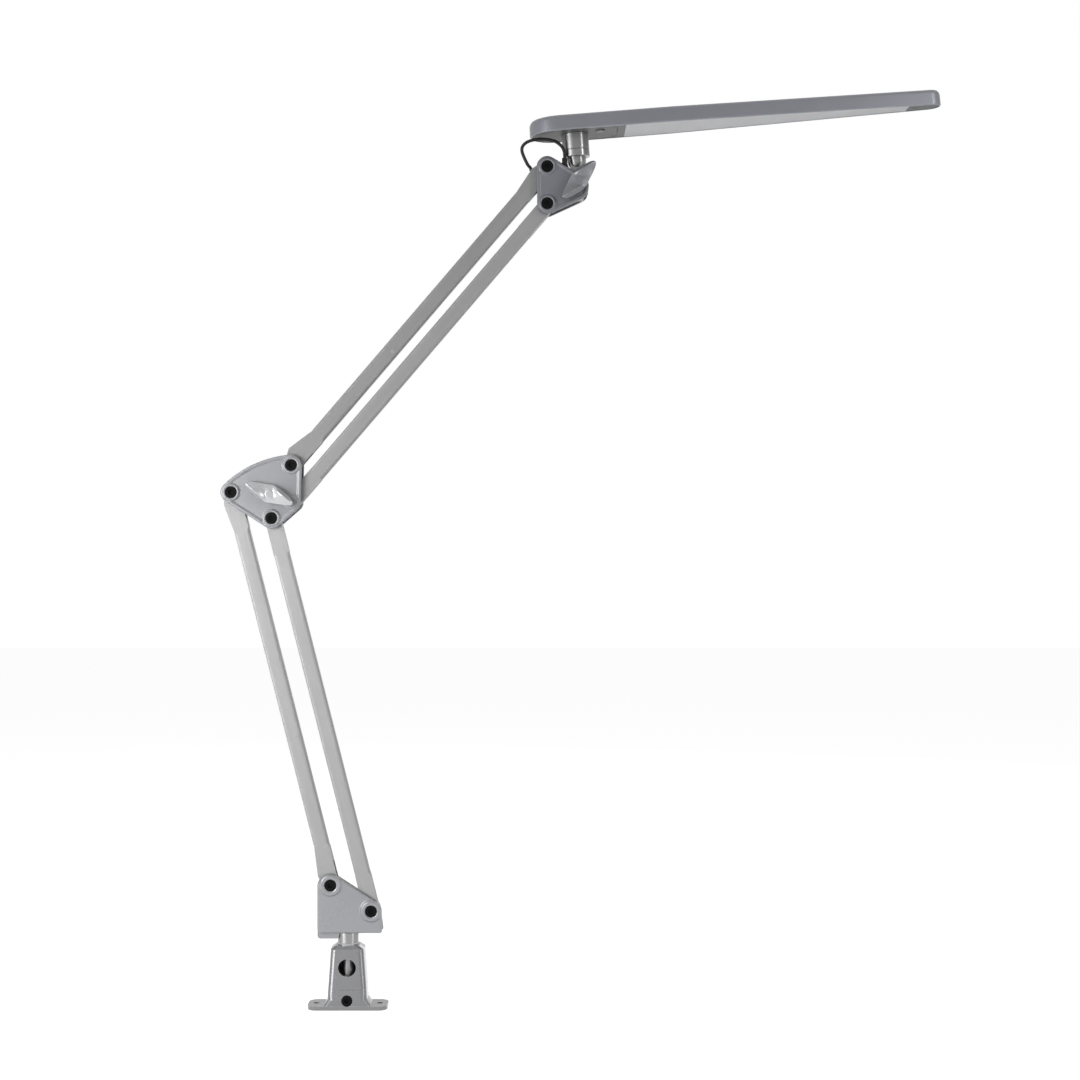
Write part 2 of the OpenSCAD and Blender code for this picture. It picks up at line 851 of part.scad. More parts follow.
yoke_points = concat(from_pivot(gland_at, socket_route), from_pivot(yoke_out, yoke_route));
lower_start = in_bar(yoke_out, lower_angle, bar_lead_start, lead_y, bar_lead_rise);
lower_level = in_bar(yoke_out, lower_angle, bar_lead_level, lead_y, lead_z);
lower_last_level = in_bar(yoke_out, lower_angle, lower_length - bar_lead_level, lead_y, lead_z);
lower_end = in_bar(yoke_out, lower_angle, lower_length - bar_lead_start, lead_y, bar_lead_rise);
elbow_points = concat(from_pivot(elbow_out, elbow_route_start), from_pivot(elbow_top, elbow_route_end));
upper_start = in_bar(elbow_top, upper_angle, bar_lead_start, lead_y, bar_lead_rise);
upper_level = in_bar(elbow_top, upper_angle, bar_lead_level, lead_y, lead_z);
upper_last_level = in_bar(elbow_top, upper_angle, upper_length - upper_lead_level, lead_y, lead_z);
upper_end = in_bar(elbow_top, upper_angle, upper_length - upper_lead_end, 0, upper_lead_rise);
loop_points = from_pivot(head_top, loop_route);

module yoke_lead() {
    yoke_last = yoke_points[len(yoke_points) - 1];
    lead(concat(yoke_points, last_points(yoke_last, lower_start, lower_level)), [1, 0.1, 0], 2);
}

module lower_lead() {
    yoke_last = yoke_points[len(yoke_points) - 1];
    lead(concat(
        first_points(yoke_last, lower_start, lower_level),
        [lower_level, lower_last_level],
        last_points(lower_last_level, lower_end, elbow_points[0])
    ), [0, 1, 0], 1);
}

module elbow_lead() {
    elbow_last = elbow_points[len(elbow_points) - 1];
    lead(concat(
        first_points(lower_last_level, lower_end, elbow_points[0]),
        elbow_points,
        last_points(elbow_last, upper_start, upper_level)
    ), [0, 1, 0], 2);
}

module upper_lead() {
    elbow_last = elbow_points[len(elbow_points) - 1];
    lead(concat(
        first_points(elbow_last, upper_start, upper_level),
        [upper_level, upper_last_level],
        last_points(upper_last_level, upper_end, loop_points[0])
    ), [0, 1, 0], 1);
}

// The bend of the lead that shows between the upper arm and the head
loop_line = concat(first_points(upper_last_level, upper_end, loop_points[0]), loop_points);

module loop_lead() {
    lead(loop_line, [0.1, 1, 0], 2);
}

// Elbow

elbow_bulge_r = 108;
elbow_low_inset = 1;
elbow_top_inset = 0.4;
elbow_chord = norm([elbow_step_x, elbow_step_z]);
elbow_bulge_at = (elbow_out + elbow_top) / 2
    + sqrt(pow(elbow_bulge_r - lobe_r, 2) - pow(elbow_chord / 2, 2))
    * [elbow_step_z, -elbow_step_x] / elbow_chord;
elbow_outline = [
    lobe(elbow_in, lobe_r),
    lobe(elbow_low, lobe_r - elbow_low_inset),
    lobe(elbow_top, lobe_r - elbow_top_inset),
    lobe(elbow_bulge_at, elbow_bulge_r),
    lobe(elbow_out, lobe_r)
];
elbow_pivots = [elbow_out, elbow_in, elbow_low, elbow_top];
elbow_shown = [elbow_out, elbow_in, elbow_top];

module elbow_plate() {
    color("lightgray")
        difference() {
            union() {
                rimmed_plate(elbow_outline, elbow_shown, boss_r);
                rod(elbow_low, boss_r - elbow_low_inset, -boss_y, -plate_y);
                rod(elbow_knob_at, boss_r, -plate_y - rim_h / 2, -plate_y);
            }
            screw_holes(elbow_pivots);
            rod(elbow_knob_at, sleeve_bore_r, -boss_y, 0);
        }
}

// A spine that joins the elbow's plates, from the lower outer pivot
spine_from = [22, 21.5];
spine_to = [36, 27.5];
spine_r = 1.3;

module elbow_body() {
    color("darkgray")
        difference() {
            union() {
                across(washer_y, plate_y)
                    polygon(belt(elbow_outline));
                for (p = elbow_pivots)
                    rod(p, boss_r, plate_y, boss_y);
                rod(elbow_knob_at, boss_r, plate_y, boss_y);
                across(-washer_y, washer_y)
                    polygon(belt([lobe(elbow_out + spine_from, spine_r), lobe(elbow_out + spine_to, spine_r)]));
            }
            nut_holes(concat(elbow_pivots, [elbow_knob_at]));
        }
}

module elbow_screws() {
    pivot_screws(elbow_pivots);
}

module elbow_nuts() {
    pivot_nuts(elbow_pivots);
}

module elbow_sleeves() {
    pivot_sleeves(elbow_pivots);
}

module elbow_washers() {
    pivot_washers(elbow_pivots);
}

spacer_r = 6.5;

// A hollow spacer round the knob's bolt, between the two plates
module elbow_friction_disc() {
    color("brown")
        ring(elbow_knob_at, spacer_r, sleeve_bore_r, -washer_y, washer_y);
}

// Knobs

// One blade of a knob, from its middle towards +X
module blade() {
    root = [knob_hub_r / 4, 0];
    tip = [(knob_span - blade_tip) / 2, 0];
    tip_edge = 0.6;
    hull() {
        rod(root, blade_root / 2, -knob_y - knob_h, -knob_y - knob_h * 0.9, $fn = 32);
        rod(root, blade_root * 0.62, -knob_y - knob_h * 0.2, -knob_y, $fn = 32);
        rod(tip, blade_tip / 2 - tip_edge, -knob_y - knob_h * 0.8, -knob_y, $fn = 32);
        rod(tip, blade_tip / 2, -knob_y - knob_h * 0.6, -knob_y - knob_h * 0.1, $fn = 32);
    }
}

module knob(at, angle) {
    neck_r = 6.4;
    color("lightgray")
        difference() {
            at_joint(at, angle) {
                blade();
                mirror([1, 0, 0])
                    blade();
                rod([0, 0], knob_hub_r, -knob_y - knob_h, -knob_y);
                rod([0, 0], neck_r, -knob_y, -plate_y - rim_h);
            }
            rod(at, screw_r + slip_gap / 4, -knob_y - knob_h / 2, 0);
        }
}

// The long bolt that a knob tightens, with its hexagon head at the back
module knob_bolt(at) {
    color("dimgray") {
        rod(at, screw_r, -knob_y - knob_h / 2 + slip_gap, boss_y - nut_h);
        across(boss_y - nut_h, boss_y - slip_gap)
            translate(at)
                circle(nut_r, $fn = 6);
    }
}

module elbow_knob() {
    knob(elbow_knob_at, elbow_knob_angle);
}

module elbow_knob_bolt() {
    knob_bolt(elbow_knob_at);
}

module head_knob() {
    knob(tilt_at, head_knob_angle);
}

module head_knob_bolt() {
    knob_bolt(tilt_at);
}

// Head bracket

// The bracket's two right corners from the tilt axis, and the web between its plates
head_corner_low = [-1, -7.7];
head_corner_high = [-0.6, -4.2];
head_low_inset = 0.5;
web_from = [-14, -13.7];
web_to = [2.5, -15.1];
web_r = 2.4;
head_outline = [
    lobe(head_low, lobe_r - head_low_inset),
    lobe(tilt_at + head_corner_low, lobe_r),
    lobe(tilt_at + head_corner_high, lobe_r),
    lobe(head_top, lobe_r)
];
head_pivots = [head_top, head_low];

// Tongue of the post: its radius round the tilt axis, half its depth, and half its neck's width
tongue_r = 8.6;
tongue_y = 6;
tongue_neck_x = 7;
tilt_washer_r = 8;

module head_plate() {
    color("darkgray")
        difference() {
            rimmed_plate(head_outline, head_pivots, boss_r);
            screw_holes(head_pivots);
            rod(tilt_at, sleeve_bore_r, -boss_y, 0);
        }
}

module head_bracket_body() {
    color("darkgray")
        difference() {
            union() {
                across(washer_y, plate_y)
                    polygon(belt(head_outline));
                for (p = concat(head_pivots, [tilt_at]))
                    rod(p, boss_r, plate_y, boss_y);
                across(-washer_y, washer_y)
                    polygon(belt([lobe(tilt_at + web_from, web_r), lobe(tilt_at + web_to, web_r)]));
            }
            nut_holes(concat(head_pivots, [tilt_at]));
        }
}

module head_screws() {
    pivot_screws(head_pivots);
}

module head_nuts() {
    pivot_nuts(head_pivots);
}

module head_sleeves() {
    pivot_sleeves(head_pivots);
}

module head_washers() {
    pivot_washers(head_pivots);
}

// Friction washers at both sides of the post's tongue
module tilt_washers() {
    color("brown")
        for (side = [-1, 1])
            ring(tilt_at, tilt_washer_r, sleeve_bore_r,
                side < 0 ? -washer_y : tongue_y + running_gap,
                side < 0 ? -tongue_y - running_gap : washer_y);
}

// The boot's axis from the upper top pivot, and how far it goes down to the bracket's edge
boot_step_x = 17.2;
boot_y = -9.8;
boot_top = 8;
boot_w = 5.4;
boot_h = 11;
boot_corner_r = 1.2;

// Rubber boot on the bracket's edge, where the lead goes in beside the post
module lead_boot() {
    color("black")
        difference() {
            translate([head_top[0] + boot_step_x, boot_y, head_top[1] + boot_top - boot_h])
                linear_extrude(boot_h)
                    rounded(boot_w, boot_w, boot_corner_r);
            across(-boss_y - boot_w, -washer_y + boot_w)
                polygon(belt(shrink(head_outline, -running_gap)));
            tube(smooth(loop_line, 2), lead_r + slip_gap, lead_sides, [0.1, 1, 0]);
        }
}

// Head. Its parts are drawn with the tilt axis at the origin and the head along +X.

module in_head() {
    at_joint(tilt_at, head_tilt)
        children();
}

head_circles = [
    [-head_back, 0, head_back_r],
    [head_mid, 0, head_mid_r],
    [head_front, 0, head_front_r],
    [head_mid, 0, head_mid_r]
];
base_t = 2;
base_recess = 0.3;
base_z = head_rise + base_recess;
base_top_z = base_z + base_t;
shell_top_z = head_rise + head_t;
ceiling_z = shell_top_z - shell_wall;
spindle_r = 7;
thread_r = 5.5;
swivel_washer_r = 11;
swivel_washer_t = 1.2;
swivel_nut_r = 8.5;
swivel_nut_h = 4;
post_bore_r = 2.4;
cover_screw_r = 1.5;
cover_screw_head_r = 2.8;
// From the base's edges and the middle plane to its screws
cover_screw_back = 20;
cover_screw_step = 10;
cover_screw_side = 20;
cover_screw_front = 7;
cover_screw_at = [
    [-head_back - cover_screw_back, 0],
    [diffuser_start - cover_screw_step, -cover_screw_side],
    [diffuser_start - cover_screw_step, cover_screw_side],
    [diffuser_end + cover_screw_front, 0]
];
cover_post_wall = 1;
board_w = 13;
board_t = 1.2;
board_rise = 7.5;
board_z = head_rise + board_rise;
board_margin = 6;
led_count = 36;
led_w = 3;
led_h = 0.8;
spreader_w = 17;
spreader_t = 1.6;
button_at = [25, -11];
button_flange_w = 1.2;
driver_w = 30;
driver_l = 26;
driver_x = 33;
driver_rise = 8.5;
driver_z = head_rise + driver_rise;

// A solid with a belt outline that steps in or out with its height. Levels are [height, inset].
module stack(circles, levels) {
    outlines = [for (l = levels) belt(shrink(circles, l[1]))];
    n = len(outlines[0]);
    m = len(levels);
    points = [for (i = [0 : m - 1], p = outlines[i]) [p[0], p[1], levels[i][0]]];
    walls = [for (i = [0 : m - 2], k = [0 : n - 1])
        let (a = i * n + k, b = i * n + (k + 1) % n)
        each [[a, b + n, b], [a, a + n, b + n]]];
    caps = [
        [for (k = [0 : n - 1]) k],
        [for (k = [n - 1 : -1 : 0]) (m - 1) * n + k]
    ];
    polyhedron(points = points, faces = concat(walls, caps));
}

// A flat panel that fills the shell's mouth between two places along the head
module mouth_panel(from, to, low, high) {
    intersection() {
        translate([0, 0, low])
            linear_extrude(high - low)
                polygon(belt(shrink(head_circles, shell_wall + slip_gap)));
        translate([from, -head_back_r, low - cut])
            cube([to - from, 2 * head_back_r, high - low + 2 * cut]);
    }
}

module head_shell() {
    edge = 4.2;
    color([0.55, 0.55, 0.58])
        in_head()
            difference() {
                stack(head_circles, [
                    [head_rise, edge / 6],
                    [head_rise + edge / 4, 0],
                    [shell_top_z - edge, edge / 14],
                    [shell_top_z - edge / 2, edge / 4],
                    [shell_top_z - edge / 6, edge * 0.55],
                    [shell_top_z, edge]
                ]);
                stack(head_circles, [
                    [head_rise - cut, shell_wall],
                    [ceiling_z - edge / 2, shell_wall],
                    [ceiling_z, shell_wall + edge * 0.8]
                ]);
            }
}

module head_base() {
    color([0.42, 0.42, 0.45])
        in_head()
            difference() {
                union() {
                    mouth_panel(-head_back - head_back_r, diffuser_start - slip_gap, base_z, base_top_z);
                    mouth_panel(diffuser_end + slip_gap, head_front + head_front_r, base_z, base_top_z);
                    for (p = cover_screw_at)
                        translate([p[0], p[1], base_top_z])
                            cylinder(h = ceiling_z - base_top_z - slip_gap, r = cover_screw_head_r + cover_post_wall);
                }
                translate([0, 0, base_z - cut])
                    cylinder(h = base_t + 2 * cut, r = spindle_r + running_gap);
                translate([button_at[0], button_at[1], base_z - cut])
                    cylinder(h = base_t + 2 * cut, r = button_r + free_gap);
                for (p = cover_screw_at) {
                    translate([p[0], p[1], base_z - cut])
                        cylinder(h = head_t, r = cover_screw_r + slip_gap / 2);
                    translate([p[0], p[1], base_z - cut])
                        cylinder(h = cut + base_t / 2, r = cover_screw_head_r + slip_gap);
                }
            }
}

module cover_screws() {
    color("dimgray")
        in_head()
            for (p = cover_screw_at)
                translate([p[0], p[1], base_z])
                    difference() {
                        union() {
                            cylinder(h = base_t / 2, r = cover_screw_head_r);
                            cylinder(h = ceiling_z - base_z - base_t, r = cover_screw_r);
                        }
                        for (a = [0, 90])
                            rotate([0, 0, a])
                                cube([cover_screw_r * 2, cover_screw_r * 0.4, base_t / 2], center = true);
                    }
}

module diffuser() {
    color([0.9, 0.9, 0.92])
        in_head()
            mouth_panel(diffuser_start, diffuser_end, base_z, base_top_z);
}

module led_board() {
    color("white")
        in_head()
            translate([diffuser_start + board_margin, -board_w / 2, board_z])
                cube([diffuser_end - diffuser_start - 2 * board_margin, board_w, board_t]);
}

module leds() {
    first = diffuser_start + 2 * board_margin;
    pitch = (diffuser_end - diffuser_start - 4 * board_margin) / (led_count - 1);
    color("khaki")
        in_head()
            for (i = [0 : led_count - 1])
                translate([first + i * pitch, 0, board_z - led_h / 2])
                    cube([led_w, led_w, led_h], center = true);
}

module heat_spreader() {
    color("silver")
        in_head()
            translate([diffuser_start + board_margin, 0, board_z + board_t]) {
                translate([0, -spreader_w / 2, 0])
                    cube([diffuser_end - diffuser_start - 2 * board_margin, spreader_w, spreader_t]);
                for (side = [-1, 0, 1])
                    translate([0, side * (spreader_w - spreader_t) / 2 - spreader_t / 2, 0])
                        cube([
                            diffuser_end - diffuser_start - 2 * board_margin,
                            spreader_t,
                            ceiling_z - board_z - board_t - slip_gap
                        ]);
            }
}

// Places of the board's four legs as shares of its half sizes, clear of the button
leg_shares = [[-1, 1], [1, 1], [1, -1], [0.1, -1]];

module driver_board() {
    leg_r = 1.6;
    chip_h = 1.8;
    color("darkgreen")
        in_head() {
            translate([driver_x - driver_l / 2, -driver_w / 2, driver_z])
                cube([driver_l, driver_w, board_t]);
            for (s = leg_shares)
                translate([
                    driver_x + s[0] * (driver_l / 2 - 2 * leg_r),
                    s[1] * (driver_w / 2 - 2 * leg_r),
                    base_top_z
                ])
                    cylinder(h = driver_z - base_top_z, r = leg_r);
            translate([driver_x, driver_w / 5, driver_z + board_t])
                cube([driver_l / 2, driver_w / 4, chip_h]);
            translate([driver_x - driver_l / 3, -driver_w / 5, driver_z + board_t])
                cylinder(h = chip_h, r = driver_l / 8);
        }
}

module switch_button() {
    proud = 0.9;
    flange_t = 1.2;
    color("lightgray")
        in_head()
            translate([button_at[0], button_at[1], head_rise - proud]) {
                cylinder(h = base_top_z + flange_t - head_rise + proud, r = button_r);
                translate([0, 0, base_top_z - head_rise + proud])
                    cylinder(h = flange_t, r = button_r + button_flange_w);
            }
}

module head_collar() {
    groove = 0.5;
    groove_z = collar_rise + (head_rise - collar_rise) * 0.3;
    color("lightgray")
        in_head()
            difference() {
                translate([0, 0, collar_rise + running_gap])
                    cylinder(h = base_z - collar_rise - running_gap, r = head_collar_r);
                translate([0, 0, collar_rise - cut])
                    cylinder(h = head_rise - collar_rise + 2 * cut, r = spindle_r + running_gap);
                translate([0, 0, groove_z])
                    difference() {
                        cylinder(h = 2 * groove, r = head_collar_r + cut);
                        translate([0, 0, -cut])
                            cylinder(h = 2 * groove + 2 * cut, r = head_collar_r - groove);
                    }
            }
}

// The post with its round end and the tongue that the head tilts on
module head_post() {
    color("lightgray")
        difference() {
            in_head()
                union() {
                    rod([0, 0], tongue_r, -tongue_y, tongue_y);
                    translate([-tongue_neck_x, -tongue_y, 0])
                        cube([2 * tongue_neck_x, 2 * tongue_y, ball_rise]);
                    difference() {
                        translate([0, 0, ball_rise])
                            sphere(r = post_r);
                        translate([0, 0, ball_rise])
                            cylinder(h = 2 * post_r, r = 2 * post_r);
                    }
                    translate([0, 0, ball_rise])
                        cylinder(h = collar_rise - ball_rise, r = post_r);
                    translate([0, 0, collar_rise - cut])
                        cylinder(h = base_top_z - collar_rise + cut + running_gap * 2, r = spindle_r);
                    translate([0, 0, base_top_z - cut])
                        cylinder(h = swivel_washer_t + swivel_nut_h + cut * 2, r = thread_r);
                }
            in_head()
                translate([0, 0, ball_rise])
                    cylinder(h = head_rise, r = post_bore_r);
            rod(tilt_at, sleeve_bore_r, -plate_y, plate_y);
        }
}

module post_lead() {
    color([0.06, 0.06, 0.06])
        in_head()
            tube(smooth([for (p = post_route) [p[0], 0, p[1]]], 2), lead_r, lead_sides, [0, 1, 0]);
}

module swivel_washer() {
    color("gray")
        in_head()
            difference() {
                translate([0, 0, base_top_z + running_gap * 2])
                    cylinder(h = swivel_washer_t, r = swivel_washer_r);
                translate([0, 0, base_top_z - cut])
                    cylinder(h = swivel_washer_t + 3 * cut, r = thread_r + slip_gap / 4);
            }
}

module swivel_nut() {
    color("gray")
        in_head()
            difference() {
                translate([0, 0, base_top_z + running_gap * 2 + swivel_washer_t])
                    cylinder(h = swivel_nut_h, r = swivel_nut_r, $fn = 6);
                translate([0, 0, base_top_z - cut])
                    cylinder(h = swivel_nut_h + 4 * cut, r = thread_r + slip_gap / 4);
            }
}

// Least gap between points of a spring's wire that lie at least half a turn apart
function least_gap(line) =
    min([for (i = [0 : len(line) - 1 - coil_rings / 2], j = [i + coil_rings / 2 : len(line) - 1])
        norm(line[i] - line[j])]) - 2 * wire_r;
echo(lower_spring_gap = least_gap(spring_line(peg_in(lower_angle))));
echo(upper_spring_gap = least_gap(spring_line(peg_in(upper_angle))));

mount_casting();
swivel_bushes();
friction_screw();
swivel_pin();
yoke_body();
yoke_plate();
yoke_sleeves();
yoke_washers();
yoke_screws();
yoke_nuts();
yoke_spring_anchor();
lead_gland();
yoke_lead();
lower_outer_bar();
lower_spring_pin();
lower_spring();
lower_lead();
lower_inner_bar();
elbow_plate();
elbow_body();
elbow_sleeves();
elbow_washers();
elbow_screws();
elbow_nuts();
elbow_spring_anchor();
elbow_lead();
elbow_knob();
elbow_knob_bolt();
elbow_friction_disc();
upper_top_bar();
upper_spring_pin();
upper_spring();
upper_lead();
upper_bottom_bar();
head_plate();
head_bracket_body();
head_sleeves();
head_washers();
head_screws();
head_nuts();
head_knob();
head_knob_bolt();
tilt_washers();
loop_lead();
lead_boot();
head_post();
post_lead();
swivel_washer();
swivel_nut();
head_collar();
head_shell();
head_base();
diffuser();
led_board();
leds();
heat_spreader();
driver_board();
cover_screws();
switch_button();
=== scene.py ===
"""Dresses a spring-balanced desk lamp with two parallel-bar arms and a long flat LED head."""

import logging
import math
from dataclasses import dataclass, field
from enum import Enum

import bmesh
import bpy
import numpy as np
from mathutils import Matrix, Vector


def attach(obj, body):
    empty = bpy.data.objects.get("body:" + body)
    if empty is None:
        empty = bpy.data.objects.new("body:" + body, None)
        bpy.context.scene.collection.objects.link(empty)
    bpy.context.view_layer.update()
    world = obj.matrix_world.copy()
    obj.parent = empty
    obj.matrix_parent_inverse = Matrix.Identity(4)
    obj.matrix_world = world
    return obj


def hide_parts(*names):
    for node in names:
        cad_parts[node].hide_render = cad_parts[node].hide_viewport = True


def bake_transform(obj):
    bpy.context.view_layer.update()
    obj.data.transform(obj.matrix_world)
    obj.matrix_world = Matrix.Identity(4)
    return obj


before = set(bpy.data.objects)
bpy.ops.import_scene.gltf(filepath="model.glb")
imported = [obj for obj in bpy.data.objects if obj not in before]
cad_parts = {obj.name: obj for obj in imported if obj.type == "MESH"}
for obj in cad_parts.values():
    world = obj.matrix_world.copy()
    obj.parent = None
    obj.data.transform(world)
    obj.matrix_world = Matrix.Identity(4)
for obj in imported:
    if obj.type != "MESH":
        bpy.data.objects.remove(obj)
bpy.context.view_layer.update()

log = logging.getLogger("desk_lamp")

Point = tuple[float, float]
Triple = tuple[float, float, float]
Circle = tuple[float, float, float]
Tree = bpy.types.NodeTree
Socket = bpy.types.NodeSocket
Mesh = bmesh.types.BMesh
Vert = bmesh.types.BMVert

MM = 0.001
LOWER_LEAN = math.radians(104.2)
UPPER_LEAN = math.radians(49.4)
HEAD_LEAN = math.radians(4.5)

WEAR_GAIN = 9.0
DUST_COLOUR = (0.55, 0.54, 0.52)
DUST_ROUGHNESS = 0.4
ROUGHNESS_SWING = 0.22
BUMP_STRENGTH = 0.35
COAT_ROUGHNESS = 0.18
TURNED_ANISOTROPY = 0.9
TURNED_ROTATION = 0.25
LIGHT_DEPTH = 0.004

WELD_DISTANCE = 0.000002
JOIN_DISTANCE = 0.00001
ROUNDED_CORNER = math.radians(32.0)
FAR = 1e9
NEARLY_WHOLE_TURN = 6.0
STRAIGHT = 1e-6
NO_LENGTH = 1e-12
NO_DISTANCE = 1e-9


def grey(level: float, blue: float = 0.0) -> Triple:
    """A near-neutral linear colour; blue shifts it towards cold."""
    return (level * (1 - blue), level * (1 - blue * 0.7), level * (1 + blue))


class Mottle(Enum):
    """How coarse a finish's colour changes are, in cells per metre."""

    FINE = 900.0
    MIDDLE = 220.0
    BROAD = 28.0


class EdgeRound(Enum):
    """How a solid's edges are rounded: the round's width in metres, and the faces across it."""

    SHARP = (0.0, 0)
    BOARD = (0.0001, 1)
    THIN = (0.0001, 2)
    SMALL = (0.0002, 2)
    MIDDLE = (0.0003, 2)
    MOULDED = (0.0004, 2)
    TURNED = (0.0004, 3)
    SOFT = (0.0005, 3)
    BAR = (0.0007, 3)
    CAST = (0.0008, 3)
    TOWER = (0.0009, 4)


class NodeBox:
    """A small helper that adds and links the nodes of one tree."""

    def __init__(self, tree: Tree) -> None:
        """Keeps the tree that the nodes go into."""
        self.tree = tree

    @classmethod
    def cleared(cls, owner: bpy.types.ID) -> "NodeBox":
        """Starts the nodes of a material or world afresh.

        Args:
            owner: The material or world.

        Returns:
            The helper for its empty tree.
        """
        owner.use_nodes = True
        owner.node_tree.nodes.clear()
        return cls(owner.node_tree)

    def add(self, kind: str, **settings: object) -> bpy.types.Node:
        """Adds a node.

        Args:
            kind: Blender's name of the node type.
            settings: Values for the node's own properties.

        Returns:
            The new node.
        """
        node = self.tree.nodes.new(kind)
        for name, value in settings.items():
            setattr(node, name, value)
        return node

    def link(self, source: Socket, target: Socket) -> None:
        """Joins an output to an input."""
        self.tree.links.new(source, target)

    def put(self, value: object, target: Socket) -> None:
        """Feeds an input from an output, or sets it to a constant.

        Args:
            value: An output, a number or three numbers.
            target: The input.
        """
        if isinstance(value, Socket):
            self.link(value, target)
        elif isinstance(value, tuple) and len(target.default_value) == 4:
            target.default_value = (*value, 1.0)
        else:
            target.default_value = value

    def math(self, operation: str, first: object, second: object = 0.0,
             clamp: bool = False) -> Socket:
        """Adds a Math node.

        Args:
            operation: The node's operation.
            first: A socket or a number.
            second: A socket or a number.
            clamp: Whether the result is held between 0 and 1.

        Returns:
            The node's output.
        """
        node = self.add("ShaderNodeMath", operation=operation, use_clamp=clamp)
        self.put(first, node.inputs[0])
        self.put(second, node.inputs[1])
        return node.outputs[0]

    def mix(self, factor: Socket, first: object, second: object) -> Socket:
        """Mixes two colours.

        Args:
            factor: The share of the second colour.
            first: The colour at 0, as a socket or three numbers.
            second: The colour at 1, as a socket or three numbers.

        Returns:
            The mixed colour's socket.
        """
        node = self.add("ShaderNodeMix", data_type="RGBA")
        for index, value in ((0, factor), (6, first), (7, second)):
            self.put(value, node.inputs[index])
        return node.outputs[2]

    def place(self) -> Socket:
        """Each point's place in its object's own frame."""
        return self.add("ShaderNodeTexCoord").outputs["Object"]

    def facing(self) -> Socket:
        """The surface's own normal."""
        return self.add("ShaderNodeNewGeometry").outputs["Normal"]

    def split(self, vector: Socket) -> tuple[Socket, Socket, Socket]:
        """Takes a vector apart.

        Args:
            vector: The vector's socket.

        Returns:
            The sockets of its three parts.
        """
        node = self.add("ShaderNodeSeparateXYZ")
        self.link(vector, node.inputs["Vector"])
        return tuple(node.outputs)

    def join(self, *parts: Socket) -> Socket:
        """Joins three numbers into a vector.

        Args:
            parts: The sockets of its three parts.

        Returns:
            The vector's socket.
        """
        node = self.add("ShaderNodeCombineXYZ")
        for part, target in zip(parts, node.inputs):
            self.link(part, target)
        return node.outputs["Vector"]

    def noise(self, scale: object, detail: float, roughness: float = 0.5,
              at: Socket | None = None) -> Socket:
        """Adds a noise texture.

        Args:
            scale: Cells per metre, as a socket or a number.
            detail: Layers of finer noise.
            roughness: How strong the finer layers are.
            at: Where it is read, or None for the object's own frame.

        Returns:
            The noise's socket.
        """
        node = self.add("ShaderNodeTexNoise")
        values = {"Vector": at or self.place(), "Scale": scale, "Detail": detail,
                  "Roughness": roughness}
        for name, value in values.items():
            self.put(value, node.inputs[name])
        return node.outputs["Fac"]


def new_group(name: str, inputs: dict[str, float], outputs: tuple[str, ...],
              kind: str = "NodeSocketFloat") -> tuple[Tree, NodeBox, dict[str, Socket], dict[str, Socket]]:
    """Starts a shader node group with named sockets.

    Args:
        name: The group's name.
        inputs: The default value by input name.
        outputs: The outputs' names.
        kind: The outputs' socket type.

    Returns:
        The group, a helper for its nodes, and its inputs and outputs as sockets by name.
    """
    group = bpy.data.node_groups.new(name, "ShaderNodeTree")
    for label, value in inputs.items():
        socket = group.interface.new_socket(label, in_out="INPUT", socket_type="NodeSocketFloat")
        socket.default_value = value
    for label in outputs:
        group.interface.new_socket(label, in_out="OUTPUT", socket_type=kind)
    box = NodeBox(group)
    given = box.add("NodeGroupInput").outputs
    made = box.add("NodeGroupOutput").inputs
    return group, box, {key: given[key] for key in inputs}, {key: made[key] for key in outputs}


def edge_wear_group() -> Tree:
    """A mask of the edges where paint is thin, broken up by noise.

    Returns:
        The group.
    """
    group, box, given, made = new_group("edge_wear", {"Radius": 0.0008, "Amount": 0.5}, ("Mask",))
    rounded = box.add("ShaderNodeBevel", samples=4)
    box.link(given["Radius"], rounded.inputs["Radius"])
    turned = box.add("ShaderNodeVectorMath", operation="DOT_PRODUCT")
    box.link(rounded.outputs["Normal"], turned.inputs[0])
    box.link(box.facing(), turned.inputs[1])
    edge = box.math("SUBTRACT", 1.0, turned.outputs["Value"], clamp=True)
    broken = box.math("MULTIPLY", edge, box.noise(180.0, detail=4.0))
    raised = box.math("MULTIPLY", broken, WEAR_GAIN, clamp=True)
    box.link(box.math("MULTIPLY", raised, given["Amount"], clamp=True), made["Mask"])
    return group


def paint_grain_group() -> Tree:
    """Metal-flake speckle, soft mottling and the orange peel of sprayed paint.

    Returns:
        The group.
    """
    scales = {"Flake Scale": 1800.0, "Peel Scale": 420.0, "Mottle Scale": 30.0}
    group, box, given, made = new_group("paint_grain", scales, ("Flake", "Peel", "Mottle"))
    for label, detail, rough in (("Flake", 2.0, 0.7), ("Peel", 3.0, 0.5), ("Mottle", 3.0, 0.55)):
        box.link(box.noise(given[f"{label} Scale"], detail, rough), made[label])
    return group


def drawn_lines_group() -> Tree:
    """Fine lines along one direction of the XZ plane, as drawing or brushing leaves them.

    Returns:
        The group.
    """
    scales = {"Angle": 0.0, "Across Scale": 2200.0, "Along Scale": 9.0}
    group, box, given, made = new_group("drawn_lines", scales, ("Lines", "Streaks"))
    turn = box.add("ShaderNodeVectorRotate", rotation_type="Y_AXIS")
    box.link(box.place(), turn.inputs["Vector"])
    box.link(given["Angle"], turn.inputs["Angle"])
    x, y, z = box.split(turn.outputs["Vector"])
    for label, share in (("Lines", 1.0), ("Streaks", 0.12)):
        across = box.math("MULTIPLY", given["Across Scale"], share)
        at = box.join(box.math("MULTIPLY", x, given["Along Scale"]),
                      box.math("MULTIPLY", y, across), box.math("MULTIPLY", z, across))
        box.link(box.noise(1.0, detail=3.0, at=at), made[label])
    return group


